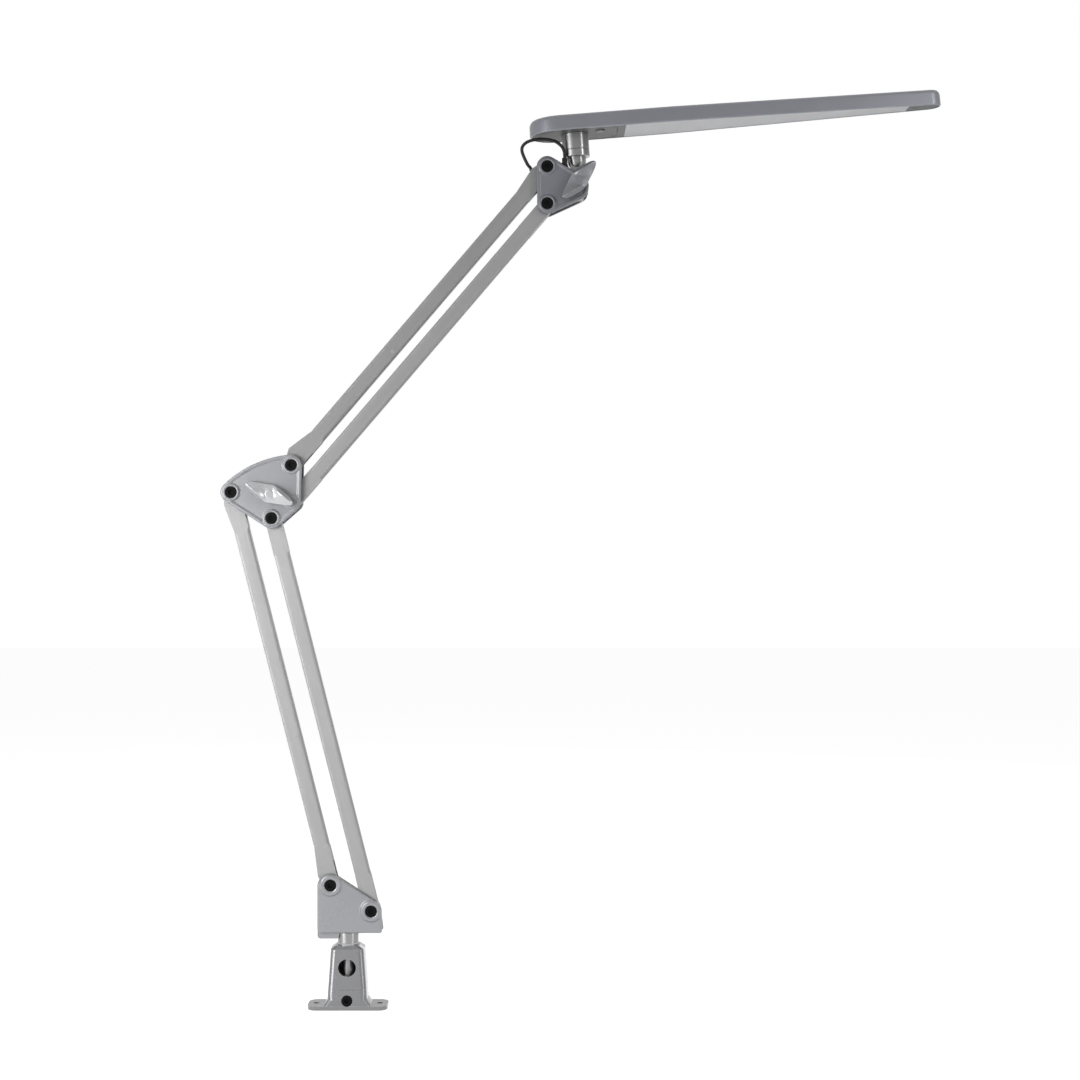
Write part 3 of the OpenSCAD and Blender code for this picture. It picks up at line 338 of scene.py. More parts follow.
def dust_group() -> Tree:
    """A thin film of dust on faces that look up.

    Returns:
        The group.
    """
    group, box, given, made = new_group("dust", {"Amount": 0.2}, ("Mask",))
    upward = box.math("MULTIPLY", box.split(box.facing())[2], box.noise(140.0, detail=5.0), clamp=True)
    box.link(box.math("MULTIPLY", upward, given["Amount"], clamp=True), made["Mask"])
    return group


def soft_corner_group() -> Tree:
    """A normal that rounds the upright corners of a tapering tower, between two levels.

    Returns:
        The group.
    """
    sizes = {"Low Half": 0.0191, "High Half": 0.0162, "Low Level": 0.0192, "High Level": 0.0591,
             "Start Level": 0.0095, "Inside Half": 0.0088, "Radius": 0.0056, "Lift": 1.6,
             "Upright Limit": 0.4}
    group, box, given, made = new_group("soft_corner", sizes, ("Normal",), "NodeSocketVector")
    calc = box.math
    x, y, z = box.split(box.place())
    facing = box.facing()
    out_x, out_y, out_z = box.split(facing)
    rise = calc("DIVIDE", calc("SUBTRACT", z, given["Low Level"]),
                calc("SUBTRACT", given["High Level"], given["Low Level"]), clamp=True)
    drop = calc("MULTIPLY", rise, calc("SUBTRACT", given["Low Half"], given["High Half"]))
    inner = calc("SUBTRACT", calc("SUBTRACT", given["Low Half"], drop), given["Radius"])
    share = calc("DIVIDE", calc("SUBTRACT", calc("ABSOLUTE", x), inner), given["Radius"], clamp=True)
    share = calc("MINIMUM", calc("MAXIMUM", share, calc("ABSOLUTE", out_x)), 1.0)
    front = calc("SQRT", calc("SUBTRACT", 1.0, calc("MULTIPLY", share, share), clamp=True))
    lift = calc("MULTIPLY", calc("MULTIPLY", share, calc("SUBTRACT", 1.0, share)), given["Lift"])
    whole = box.add("ShaderNodeVectorMath", operation="NORMALIZE")
    box.link(box.join(calc("MULTIPLY", share, calc("SIGN", x)),
                      calc("MULTIPLY", front, calc("SIGN", out_y)), lift), whole.inputs[0])
    used = calc("MULTIPLY", calc("GREATER_THAN", z, given["Start Level"]),
                calc("LESS_THAN", z, given["High Level"]))
    used = calc("MULTIPLY", used, calc("GREATER_THAN", calc("ABSOLUTE", y), given["Inside Half"]))
    used = calc("MULTIPLY", used, calc("LESS_THAN", calc("ABSOLUTE", out_z), given["Upright Limit"]))
    either = box.add("ShaderNodeMix", data_type="VECTOR")
    for index, value in ((0, used), (4, facing), (5, whole.outputs["Vector"])):
        box.link(value, either.inputs[index])
    box.link(either.outputs[1], made["Normal"])
    return group


@dataclass(frozen=True)
class SurfaceEffects:
    """The shader node groups that the finishes share."""

    wear: Tree
    grain: Tree
    drawn: Tree
    dust: Tree
    soft_corner: Tree

    @staticmethod
    def build() -> "SurfaceEffects":
        """Builds each group once."""
        return SurfaceEffects(edge_wear_group(), paint_grain_group(), drawn_lines_group(),
                              dust_group(), soft_corner_group())


@dataclass(frozen=True)
class Finish:
    """One of the lamp's finishes: its colour, gloss and surface detail."""

    name: str
    colour: Triple
    roughness: float = 0.4
    metallic: float = 0.0
    coat: float = 0.0
    wear: float = 0.3
    worn_colour: Triple = (0.62, 0.62, 0.63)
    flake: float = 0.06
    peel: float = 0.00002
    mottle: float = 0.06
    mottle_scale: Mottle = Mottle.BROAD
    lines: float = 0.0
    line_angle: float = 0.0
    dust: float = 0.12
    specular: float = 0.5
    through: float = 0.0
    soft_corners: bool = False
    turned: bool = False

    def material(self, effects: SurfaceEffects) -> bpy.types.Material:
        """Builds the finish as a material.

        Args:
            effects: The shared node groups.

        Returns:
            The material.
        """
        made = bpy.data.materials.new(self.name)
        box = NodeBox.cleared(made)
        shader = box.add("ShaderNodeBsdfPrincipled")
        out = box.add("ShaderNodeOutputMaterial")
        box.link(shader.outputs["BSDF"], out.inputs["Surface"])
        grain = self._group(box, effects.grain, {"Mottle Scale": self.mottle_scale.value})
        wear = self._group(box, effects.wear, {"Amount": self.wear})
        dust = self._group(box, effects.dust, {"Amount": self.dust})
        shade = self._shade(box, grain.outputs["Flake"], self.flake, self.colour)
        shade = self._shade(box, grain.outputs["Mottle"], self.mottle, shade)
        height, uneven = grain.outputs["Peel"], grain.outputs["Mottle"]
        if self.lines:
            drawn = self._group(box, effects.drawn, {"Angle": self.line_angle})
            height, uneven = drawn.outputs["Lines"], drawn.outputs["Streaks"]
            shade = self._shade(box, height, self.lines, shade)
            shade = self._shade(box, uneven, self.lines, shade)
        shade = box.mix(wear.outputs["Mask"], shade, self.worn_colour)
        shade = box.mix(dust.outputs["Mask"], shade, DUST_COLOUR)
        box.link(shade, shader.inputs["Base Color"])
        spread = box.math("MULTIPLY", box.math("SUBTRACT", uneven, 0.5), ROUGHNESS_SWING)
        dusty = box.math("MULTIPLY", dust.outputs["Mask"], DUST_ROUGHNESS)
        rough = box.math("ADD", box.math("ADD", self.roughness, spread), dusty, clamp=True)
        box.link(rough, shader.inputs["Roughness"])
        bump = box.add("ShaderNodeBump")
        bump.inputs["Strength"].default_value = BUMP_STRENGTH
        bump.inputs["Distance"].default_value = self.peel
        box.link(height, bump.inputs["Height"])
        if self.soft_corners:
            box.link(self._group(box, effects.soft_corner, {}).outputs["Normal"], bump.inputs["Normal"])
        box.link(bump.outputs["Normal"], shader.inputs["Normal"])
        self._set_constants(box, shader)
        return made

    def _set_constants(self, box: NodeBox, shader: bpy.types.Node) -> None:
        """Sets what is the same all over the surface.

        Args:
            box: The material's node helper.
            shader: Its Principled shader.
        """
        values = {"Metallic": self.metallic, "Coat Weight": self.coat,
                  "Coat Roughness": COAT_ROUGHNESS, "Specular IOR Level": self.specular}
        if self.turned:
            tangent = box.add("ShaderNodeTangent", direction_type="RADIAL", axis="Z")
            box.link(tangent.outputs["Tangent"], shader.inputs["Tangent"])
            values |= {"Anisotropic": TURNED_ANISOTROPY, "Anisotropic Rotation": TURNED_ROTATION}
        if self.through:
            values |= {"Subsurface Weight": self.through, "Subsurface Scale": LIGHT_DEPTH}
        for name, value in values.items():
            shader.inputs[name].default_value = value

    @staticmethod
    def _group(box: NodeBox, group: Tree, values: dict[str, float]) -> bpy.types.Node:
        """Places a shared group with this finish's values.

        Args:
            box: The material's node helper.
            group: The shared group.
            values: Input values by name.

        Returns:
            The group's node.
        """
        node = box.add("ShaderNodeGroup", node_tree=group)
        for name, value in values.items():
            node.inputs[name].default_value = value
        return node

    @staticmethod
    def _shade(box: NodeBox, source: Socket, amount: float, colour: object) -> Socket:
        """Darkens and lightens a colour by a value that varies.

        Args:
            box: The material's node helper.
            source: The value, between 0 and 1.
            amount: Share of the colour that it changes.
            colour: A socket or three numbers.

        Returns:
            The changed colour's socket.
        """
        swing = box.math("MULTIPLY", box.math("SUBTRACT", source, 0.5), 2 * amount)
        scaled = box.add("ShaderNodeVectorMath", operation="SCALE")
        box.put(colour, scaled.inputs[0])
        box.link(box.math("ADD", swing, 1.0), scaled.inputs["Scale"])
        return scaled.outputs["Vector"]


TOWER_PAINT = Finish("tower_paint", grey(0.23, 0.02), roughness=0.28, metallic=0.5, coat=1.0,
                     wear=0.5, soft_corners=True)
CAST_PAINT = Finish("cast_paint", grey(0.34, 0.03), roughness=0.28, metallic=0.5, coat=0.6, wear=0.5)
ELBOW_PAINT = Finish("elbow_paint", grey(0.33, 0.03), roughness=0.42, metallic=0.3, coat=0.1, wear=0.5)
# Painted shade: the elbow's paint with a darker tone, standing in for the dimmer light at the head bracket.
SHADED_BRACKET_PAINT = Finish("shaded_bracket_paint", grey(0.21, 0.06), roughness=0.42, metallic=0.3, coat=0.1,
                       wear=0.45)
# Painted light and shade: all four bars are one drawn aluminium. The lower arm's bars and the upper arm's
# bottom bar get lighter tones, and the upper arm's top bar a darker one, standing in for how the light falls
# along the arms.
LIT_LOWER_BAR = Finish("lit_lower_bar", grey(0.43), roughness=0.5, metallic=0.3, wear=0.4, lines=0.07,
                   line_angle=LOWER_LEAN, flake=0.03)
SHADED_UPPER_BAR = Finish("shaded_upper_bar", grey(0.3), roughness=0.5, metallic=0.3, wear=0.4, lines=0.07,
                   line_angle=UPPER_LEAN, flake=0.03)
LIT_UNDER_BAR = Finish("lit_under_bar", grey(0.34), roughness=0.5, metallic=0.3, wear=0.4, lines=0.07,
                   line_angle=UPPER_LEAN, flake=0.03)
# Painted light and shade: both knobs have one paint, lighter on the elbow's knob and darker on the head's,
# standing in for the brighter light at the elbow.
KNOB_PAINT = Finish("knob_paint", grey(0.54, 0.02), roughness=0.26, metallic=0.4, coat=0.6, wear=0.2)
SHADED_HEAD_KNOB_PAINT = Finish("shaded_head_knob_paint", grey(0.24, 0.04), roughness=0.34, metallic=0.3, coat=0.2,
                         wear=0.2)
BRIGHT_STEEL = Finish("bright_steel", grey(0.36), roughness=0.28, metallic=1.0, wear=0.1, lines=0.05,
                      flake=0.02, mottle=0.04)
PIN_STEEL = Finish("pin_steel", grey(0.34), roughness=0.36, metallic=1.0, wear=0.1, lines=0.04,
                   turned=True, flake=0.02, mottle=0.04)
POST_STEEL = Finish("post_steel", grey(0.3), roughness=0.34, metallic=0.9, turned=True, wear=0.1,
                    lines=0.05, line_angle=HEAD_LEAN, flake=0.02, mottle=0.04)
BLACK_OXIDE = Finish("black_oxide", grey(0.002), roughness=0.55, metallic=0.0, wear=0.03,
                     worn_colour=(0.05, 0.05, 0.055), dust=0.0, specular=0.12)
ZINC = Finish("zinc_plate", grey(0.42, 0.03), roughness=0.36, metallic=0.9, mottle=0.12,
              mottle_scale=Mottle.MIDDLE)
SPRING_WIRE = Finish("spring_wire", grey(0.2), roughness=0.35, metallic=0.9, wear=0.1)
NYLON = Finish("nylon", (0.7, 0.69, 0.66), roughness=0.5, wear=0.0, through=0.2)
FIBRE = Finish("pressed_fibre", (0.18, 0.07, 0.035), roughness=0.7, wear=0.1, mottle=0.25,
               mottle_scale=Mottle.FINE)
RUBBER = Finish("black_rubber", grey(0.0035), roughness=0.5, wear=0.0, peel=0.00004, dust=0.05,
                specular=0.35)
HEAD_PAINT = Finish("head_paint", grey(0.26, 0.07), roughness=0.38, metallic=0.35, coat=0.2, wear=0.25)
# Dark plastic of the head's underside, toned darker still as painted shade under the head; the cover screws
# share it.
BASE_PLASTIC = Finish("base_plastic", grey(0.08, 0.03), roughness=0.5, wear=0.05,
                      mottle_scale=Mottle.FINE)
BUTTON_PLASTIC = Finish("button_plastic", grey(0.13, 0.03), roughness=0.45, wear=0.3)
DIFFUSER = Finish("diffuser", grey(0.68, 0.02), roughness=0.42, wear=0.0, flake=0.01, mottle=0.02,
                  through=0.25, dust=0.0)
BOARD_WHITE = Finish("board_white", (0.78, 0.78, 0.76), roughness=0.4, wear=0.0)
BOARD_GREEN = Finish("board_green", (0.03, 0.14, 0.06), roughness=0.35, wear=0.0,
                     mottle_scale=Mottle.FINE)
LED_LENS = Finish("led_lens", (0.8, 0.62, 0.14), roughness=0.2, wear=0.0)

Row = tuple[str, Finish, EdgeRound]


@dataclass
class FinishShop:
    """Every finish of the lamp, made once."""

    effects: SurfaceEffects = field(default_factory=SurfaceEffects.build)
    made: dict[str, bpy.types.Material] = field(default_factory=dict)

    def get(self, finish: Finish) -> bpy.types.Material:
        """Gives a finish's material, which is built at its first use.

        Args:
            finish: The finish.

        Returns:
            Its material.
        """
        if finish.name not in self.made:
            self.made[finish.name] = finish.material(self.effects)
        return self.made[finish.name]

    def dress(self, rows: tuple[Row, ...]) -> None:
        """Gives construction solids their finishes.

        Args:
            rows: Each solid's name, its finish and its edges.
        """
        for node, finish, edges in rows:
            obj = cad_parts[node]
            obj.data.materials.clear()
            obj.data.materials.append(self.get(finish))
            if edges is not EdgeRound.SHARP:
                soften(obj, edges)
            log.info("dressed %s", node)


def soften(obj: bpy.types.Object, edges: EdgeRound) -> None:
    """Rounds a solid's edges a little and shades it smoothly.

    Args:
        obj: The solid.
        edges: The width of the rounds and the faces across them.
    """
    custom = obj.data.attributes.get("custom_normal")
    if custom is not None:
        obj.data.attributes.remove(custom)
    obj.data.shade_smooth()
    weld = obj.modifiers.new("weld", "WELD")
    weld.merge_threshold = WELD_DISTANCE
    bevel = obj.modifiers.new("edge_round", "BEVEL")
    bevel.width, bevel.segments = edges.value
    bevel.limit_method = "ANGLE"
    bevel.angle_limit = ROUNDED_CORNER
    bevel.harden_normals = True
    bevel.use_clamp_overlap = True
    bevel.miter_outer = "MITER_ARC"


def subdivide(obj: bpy.types.Object, levels: int) -> None:
    """Adds a subdivision surface, the same for the view and the render."""
    smooth = obj.modifiers.new("smooth", "SUBSURF")
    smooth.levels = smooth.render_levels = levels


def pivot_rows(place: str) -> tuple[Row, ...]:
    """The screws, nuts, sleeves and washers of one bracket.

    Args:
        place: The bracket's name, which its solids' names begin with.

    Returns:
        Their names, finishes and edges.
    """
    return (
        (f"{place}_screws", BLACK_OXIDE, EdgeRound.TURNED),
        (f"{place}_nuts", ZINC, EdgeRound.SMALL),
        (f"{place}_sleeves", BRIGHT_STEEL, EdgeRound.SHARP),
        (f"{place}_washers", NYLON, EdgeRound.THIN),
    )


def place_mesh(name: str, mesh: Mesh, material: bpy.types.Material) -> bpy.types.Object:
    """Turns a finished bmesh into an object of the scene.

    Args:
        name: The piece's name.
        mesh: The mesh, which is freed.
        material: Its finish.

    Returns:
        The new object.
    """
    bmesh.ops.recalc_face_normals(mesh, faces=mesh.faces)
    data = bpy.data.meshes.new(name)
    mesh.to_mesh(data)
    mesh.free()
    data.materials.append(material)
    data.shade_smooth()
    obj = bpy.data.objects.new(name, data)
    bpy.context.scene.collection.objects.link(obj)
    return obj


def smooth_line(points: list[Vector], steps: int) -> list[Vector]:
    """A smooth curve through some points.

    Args:
        points: The points that it passes.
        steps: Pieces between each two points.

    Returns:
        The curve's points.
    """
    line: list[Vector] = []
    last = len(points) - 1
    for i in range(last):
        a, b, c, d = (points[max(i - 1, 0)], points[i], points[i + 1], points[min(i + 2, last)])
        for k in range(steps):
            t = k / steps
            line.append(0.5 * (2 * b + (c - a) * t + (2 * a - 5 * b + 4 * c - d) * t * t
                               + (3 * b - a - 3 * c + d) * t ** 3))
    line.append(points[last])
    return line


def join_rings(mesh: Mesh, rings: list[list[Vert]]) -> None:
    """Joins closed rings of equally many vertices, each to the next.

    Args:
        mesh: The mesh that holds them.
        rings: The rings, in order.
    """
    for first, second in zip(rings, rings[1:]):
        for k in range(len(first)):
            after = (k + 1) % len(first)
            mesh.faces.new((first[k], first[after], second[after], second[k]))


def tube_mesh(line: list[Vector], radius: float, sides: int) -> Mesh:
    """A round tube along a line, closed at both ends.

    Args:
        line: The tube's middle line.
        radius: Its radius.
        sides: Faces round it.

    Returns:
        The tube as a bmesh.
    """
    mesh = bmesh.new()
    rings: list[list[Vert]] = []
    side = (line[1] - line[0]).orthogonal().normalized()
    for i, point in enumerate(line):
        along = (line[min(i + 1, len(line) - 1)] - line[max(i - 1, 0)]).normalized()
        side = (side - along * side.dot(along)).normalized()
        up = along.cross(side)
        rings.append([
            mesh.verts.new(point + radius * (math.cos(a) * side + math.sin(a) * up))
            for a in (2 * math.pi * k / sides for k in range(sides))
        ])
    join_rings(mesh, rings)
    mesh.faces.new(list(reversed(rings[0])))
    mesh.faces.new(rings[-1])
    return mesh


def step_from(at: Point, step: Point) -> Point:
    """A place that is some way from another one in the lamp's plane."""
    return (at[0] + step[0], at[1] + step[1])


def bar_end(at: Point, length: float, lean: float) -> Point:
    """The far end of a bar that leans at an angle."""
    return step_from(at, (length * math.cos(lean), length * math.sin(lean)))


def circle_near(at: Point, step: Circle) -> Circle:
    """A circle whose middle is some way from a place."""
    return (*step_from(at, step[:2]), step[2])


def in_frame(at: Point, lean: float, x: float, y: float, z: float) -> Vector:
    """A point of a leaning part's own frame, in the lamp's frame and in metres.

    Args:
        at: The frame's origin in the lamp's plane, in millimetres.
        lean: The frame's angle in radians.
        x: Along the part.
        y: Towards the back.
        z: Square to the part.

    Returns:
        The point.
    """
    return Vector((
        (at[0] + x * math.cos(lean) - z * math.sin(lean)) * MM,
        y * MM,
        (at[1] + x * math.sin(lean) + z * math.cos(lean)) * MM,
    ))


@dataclass(frozen=True)
class Places:
    """Pivot places in the lamp's plane, in millimetres, as the construction has them."""

    yoke_out: Point = (-16.5, 122.5)
    lower_link: Point = (40.0, -25.6)
    lower_length: float = 400.0
    elbow_step: Point = (59.5, 26.7)
    upper_link: Point = (0.0, -36.5)
    upper_length: float = 388.0
    elbow_knob_step: Point = (38.9, -1.7)
    tilt_step: Point = (31.1, -14.5)

    @property
    def yoke_in(self) -> Point:
        """The lower inner bar's pivot in the yoke."""
        return step_from(self.yoke_out, self.lower_link)

    @property
    def elbow_out(self) -> Point:
        """The lower outer bar's pivot in the elbow."""
        return bar_end(self.yoke_out, self.lower_length, LOWER_LEAN)

    @property
    def elbow_in(self) -> Point:
        """The lower inner bar's pivot in the elbow."""
        return step_from(self.elbow_out, self.lower_link)

    @property
    def elbow_top(self) -> Point:
        """The upper top bar's pivot in the elbow."""
        return step_from(self.elbow_out, self.elbow_step)

    @property
    def elbow_low(self) -> Point:
        """The upper bottom bar's pivot in the elbow."""
        return step_from(self.elbow_top, self.upper_link)

    @property
    def elbow_knob(self) -> Point:
        """The elbow knob's axis."""
        return step_from(self.elbow_out, self.elbow_knob_step)

    @property
    def head_top(self) -> Point:
        """The upper top bar's pivot in the head bracket."""
        return bar_end(self.elbow_top, self.upper_length, UPPER_LEAN)

    @property
    def head_low(self) -> Point:
        """The upper bottom bar's pivot in the head bracket."""
        return step_from(self.head_top, self.upper_link)

    @property
    def tilt(self) -> Point:
        """The head's tilt axis."""
        return step_from(self.head_top, self.tilt_step)


PLACES = Places()


def belt(circles: list[Circle], steps: int = 24) -> list[Point]:
    """The outline of a belt drawn tight round some circles.

    Args:
        circles: Place and radius of each circle in millimetres, counter-clockwise.
        steps: Pieces of each round.

    Returns:
        The outline's points, counter-clockwise.
    """
    def tangent(a: Circle, b: Circle) -> float:
        """The direction from a circle's middle to where the belt leaves it."""
        share = (a[2] - b[2]) / math.hypot(b[0] - a[0], b[1] - a[1])
        return math.atan2(b[1] - a[1], b[0] - a[0]) - math.acos(max(-1.0, min(1.0, share)))

    outline = []
    for k, here in enumerate(circles):
        start = tangent(circles[k - 1], here)
        turn = (tangent(here, circles[(k + 1) % len(circles)]) - start) % (2 * math.pi)
        if turn > NEARLY_WHOLE_TURN:
            turn = 0.0
        for step in range(steps + 1):
            outline.append(bar_end(here[:2], here[2], start + turn * step / steps))
    return hull(outline)


def hull(points: list[Point]) -> list[Point]:
    """The convex outline round some points.

    Args:
        points: The points, in any order.

    Returns:
        The outline's corners, counter-clockwise.
    """
    def half(ordered: list[Point]) -> list[Point]:
        """One side of the outline.

        Args:
            ordered: The points, from one end to the other.

        Returns:
            The side's corners, without the last one.
        """
        side: list[Point] = []
        for p in ordered:
            while len(side) > 1 and ((side[-1][0] - side[-2][0]) * (p[1] - side[-2][1])
                                     - (side[-1][1] - side[-2][1]) * (p[0] - side[-2][0])) < STRAIGHT:
                side.pop()
            side.append(p)
        return side[:-1]

    ordered = sorted(set(points))
    return half(ordered) + half(ordered[::-1])


def ease(value: np.ndarray) -> np.ndarray:
    """A smooth step from 0 to 1."""
    held = np.clip(value, 0.0, 1.0)
    return held * held * (3 - 2 * held)


@dataclass(frozen=True)
class Outline:
    """A closed convex outline in the lamp's plane."""

    corners: np.ndarray

    def edges(self) -> list[tuple[np.ndarray, np.ndarray, float]]:
        """Each edge that has a length.

        Returns:
            The edge's start, its vector and the square of its length.
        """
        ends = np.roll(self.corners, -1, axis=0)
        edges = [(a, b - a, float((b - a) @ (b - a))) for a, b in zip(self.corners, ends)]
        return [edge for edge in edges if edge[2] >= NO_LENGTH]

    def depth(self, points: np.ndarray) -> np.ndarray:
        """How deep points lie inside the outline's edges.

        Args:
            points: Points in the lamp's plane.

        Returns:
            Each point's smallest distance from an edge's line, negative outside.
        """
        least = np.full(len(points), FAR)
        for start, along, square in self.edges():
            inward = np.array((-along[1], along[0]))
            least = np.minimum(least, ((points - start) @ inward) / math.sqrt(square))
        return least


@dataclass
class CastPlate:
    """A bracket's front plate: rounded edges, and a rim and bosses that run in with fillets."""

    node: str
    body: str
    material: bpy.types.Material
    circles: list[Circle]
    holes: list[Point]
    bosses: list[Circle]
    rim_width: float = 2.6
    rim_height: float = 1.3
    rim_overlap: float = 0.15
    crown: float = 0.9
    crown_spread: float = 9.0
    fillet: float = 1.9
    boss_reach: float = 0.8
    boss_slope: float = 0.9
    boss_height: float = 2.35
    face_y: float = -10.1
    back_y: float = -7.12
    hole_radius: float = 5.62
    edge: float = 1.2
    spacing: float = 0.62
    snap: float = 0.55

    def build(self) -> None:
        """Makes the plate over its construction solid."""
        outline = Outline(np.array(belt(self.circles)))
        low = outline.corners.min(axis=0) - self.spacing
        high = outline.corners.max(axis=0) + self.spacing
        across = np.arange(low[0], high[0], self.spacing)
        up = np.arange(low[1], high[1], self.spacing)
        points = np.stack(np.meshgrid(across, up, indexing="ij"), axis=-1).reshape(-1, 2)
        inside, nearest = self._room(points, outline)
        snapped = np.abs(inside) < self.snap * self.spacing
        points = np.where(snapped[:, None], nearest, points)
        height = self._height(points, np.where(snapped, 0.0, inside), outline)
        mesh = self._sheet(points, (inside > 0) | snapped, height, (len(across), len(up)))
        obj = place_mesh(f"{self.node}_cast", mesh, self.material)
        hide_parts(self.node)
        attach(obj, self.body)
        log.info("cast %s", obj.name)

    def _room(self, points: np.ndarray, outline: Outline) -> tuple[np.ndarray, np.ndarray]:
        """How far each point is inside the plate, and the edge's place nearest to it.

        Args:
            points: Points in the lamp's plane.
            outline: The plate's outline.

        Returns:
            The distances, negative outside, and the nearest places.
        """
        best, nearest = np.full(len(points), FAR), points.copy()
        for start, along, square in outline.edges():
            share = np.clip(((points - start) @ along) / square, 0, 1)
            place = start + share[:, None] * along
            gap = np.linalg.norm(points - place, axis=1)
            nearest = np.where((gap < best)[:, None], place, nearest)
            best = np.minimum(gap, best)
        best = np.where(outline.depth(points) < 0, -best, best)
        for hole in self.holes:
            offset = points - np.array(hole)
            distance = np.maximum(np.linalg.norm(offset, axis=1), NO_DISTANCE)
            place = np.array(hole) + offset / distance[:, None] * self.hole_radius
            gap = distance - self.hole_radius
            nearest = np.where((gap < best)[:, None], place, nearest)
            best = np.minimum(gap, best)
        return best, nearest

    def _height(self, points: np.ndarray, room: np.ndarray, outline: Outline) -> np.ndarray:
        """The front face's height over the plain plate.

        Args:
            points: Points in the lamp's plane.
            room: Distance of each from the nearest edge, holes among them.
            outline: The plate's outline.

        Returns:
            The heights in millimetres.
        """
        border = outline.depth(points)
        inner = np.maximum(border - self.rim_width, 0)
        height = self.crown * (1 - np.exp(-inner / self.crown_spread))
        if self.rim_height:
            rim = self.rim_height * ease((self.rim_width + self.fillet - border) / self.fillet)
            height = np.maximum(height, rim) + self.rim_overlap * np.minimum(height, rim)
        for x, z, radius in self.bosses:
            distance = np.linalg.norm(points - np.array((x, z)), axis=1)
            rise = (radius + self.fillet * self.boss_reach - distance) / (self.fillet * self.boss_slope)
            height = np.maximum(height, self.boss_height * ease(rise))
        bend = np.clip(self.edge - room, 0, self.edge)
        return height - (self.edge - np.sqrt(np.maximum(self.edge ** 2 - bend ** 2, 0.0)))

    def _sheet(self, points: np.ndarray, kept: np.ndarray, height: np.ndarray,
               shape: tuple[int, int]) -> Mesh:
        """Joins the grid's points into a closed plate.

        Args:
            points: The grid's points.
            kept: Which of them the plate has.
            height: Each point's height.
            shape: The grid's number of points across and up.

        Returns:
            The plate's mesh.
        """
        mesh = bmesh.new()
        front: dict[int, Vert] = {}
        back: dict[int, Vert] = {}
        for k in np.flatnonzero(kept):
            x, z = points[k]
            front[int(k)] = mesh.verts.new(Vector((x, self.face_y - height[k], z)) * MM)
            back[int(k)] = mesh.verts.new(Vector((x, self.back_y, z)) * MM)
        for i in range(shape[0] - 1):
            for j in range(shape[1] - 1):
                here, beside = i * shape[1] + j, (i + 1) * shape[1] + j
                ring = (here, beside, beside + 1, here + 1)
                if all(k in front for k in ring):
                    mesh.faces.new([front[k] for k in ring])
                    mesh.faces.new([back[k] for k in reversed(ring)])
        partner = {front[k]: back[k] for k in front}
        for edge in [e for e in mesh.edges if len(e.link_faces) == 1 and e.verts[0] in partner]:
            a, b = edge.verts
            mesh.faces.new((a, partner[a], partner[b], b))
        loose = [v for v in mesh.verts if not v.link_faces]
        bmesh.ops.delete(mesh, geom=loose, context="VERTS")
        bmesh.ops.remove_doubles(mesh, verts=mesh.verts, dist=JOIN_DISTANCE)
        return mesh


@dataclass
class MountBase:
    """The cast foot and tower, its bushes and the friction screw."""

    shop: FinishShop
    solids: tuple[Row, ...] = (
        ("mount_casting", TOWER_PAINT, EdgeRound.TOWER),
        ("swivel_bushes", BRIGHT_STEEL, EdgeRound.MIDDLE),
        ("friction_screw", BLACK_OXIDE, EdgeRound.TURNED),
    )

    def build(self) -> None:
        """Dresses the base's solids."""
        self.shop.dress(self.solids)


@dataclass
class Column:
    """The swivel pin and the yoke that carries the lower arm."""

    shop: FinishShop
    left_foot: Circle = (-25.7, 79.0, 4.0)
    right_foot: Circle = (32.3, 76.8, 1.8)
    inner_corner: Circle = (-0.2, -0.5, 10.8)
    outer_corner: Circle = (-1.0, -1.3, 12.2)
    boss_radius: float = 9.6
    solids: tuple[Row, ...] = (
        ("yoke_body", CAST_PAINT, EdgeRound.CAST),
        ("swivel_pin", PIN_STEEL, EdgeRound.MIDDLE),
        ("yoke_spring_anchor", ZINC, EdgeRound.SMALL),
        ("lead_gland", RUBBER, EdgeRound.TURNED),
    )

    def build(self) -> None:
        """Dresses the column's solids and makes the yoke's front plate."""
        self.shop.dress(self.solids + pivot_rows("yoke"))
        out, inner = PLACES.yoke_out, PLACES.yoke_in
        circles = [self.left_foot, self.right_foot, circle_near(inner, self.inner_corner),
                   circle_near(out, self.outer_corner)]
        CastPlate("yoke_plate", "column", self.shop.get(CAST_PAINT), circles, [out, inner],
                  [(*out, self.boss_radius), (*inner, self.boss_radius)],
                  rim_height=0.0, crown=0.3, fillet=2.6).build()


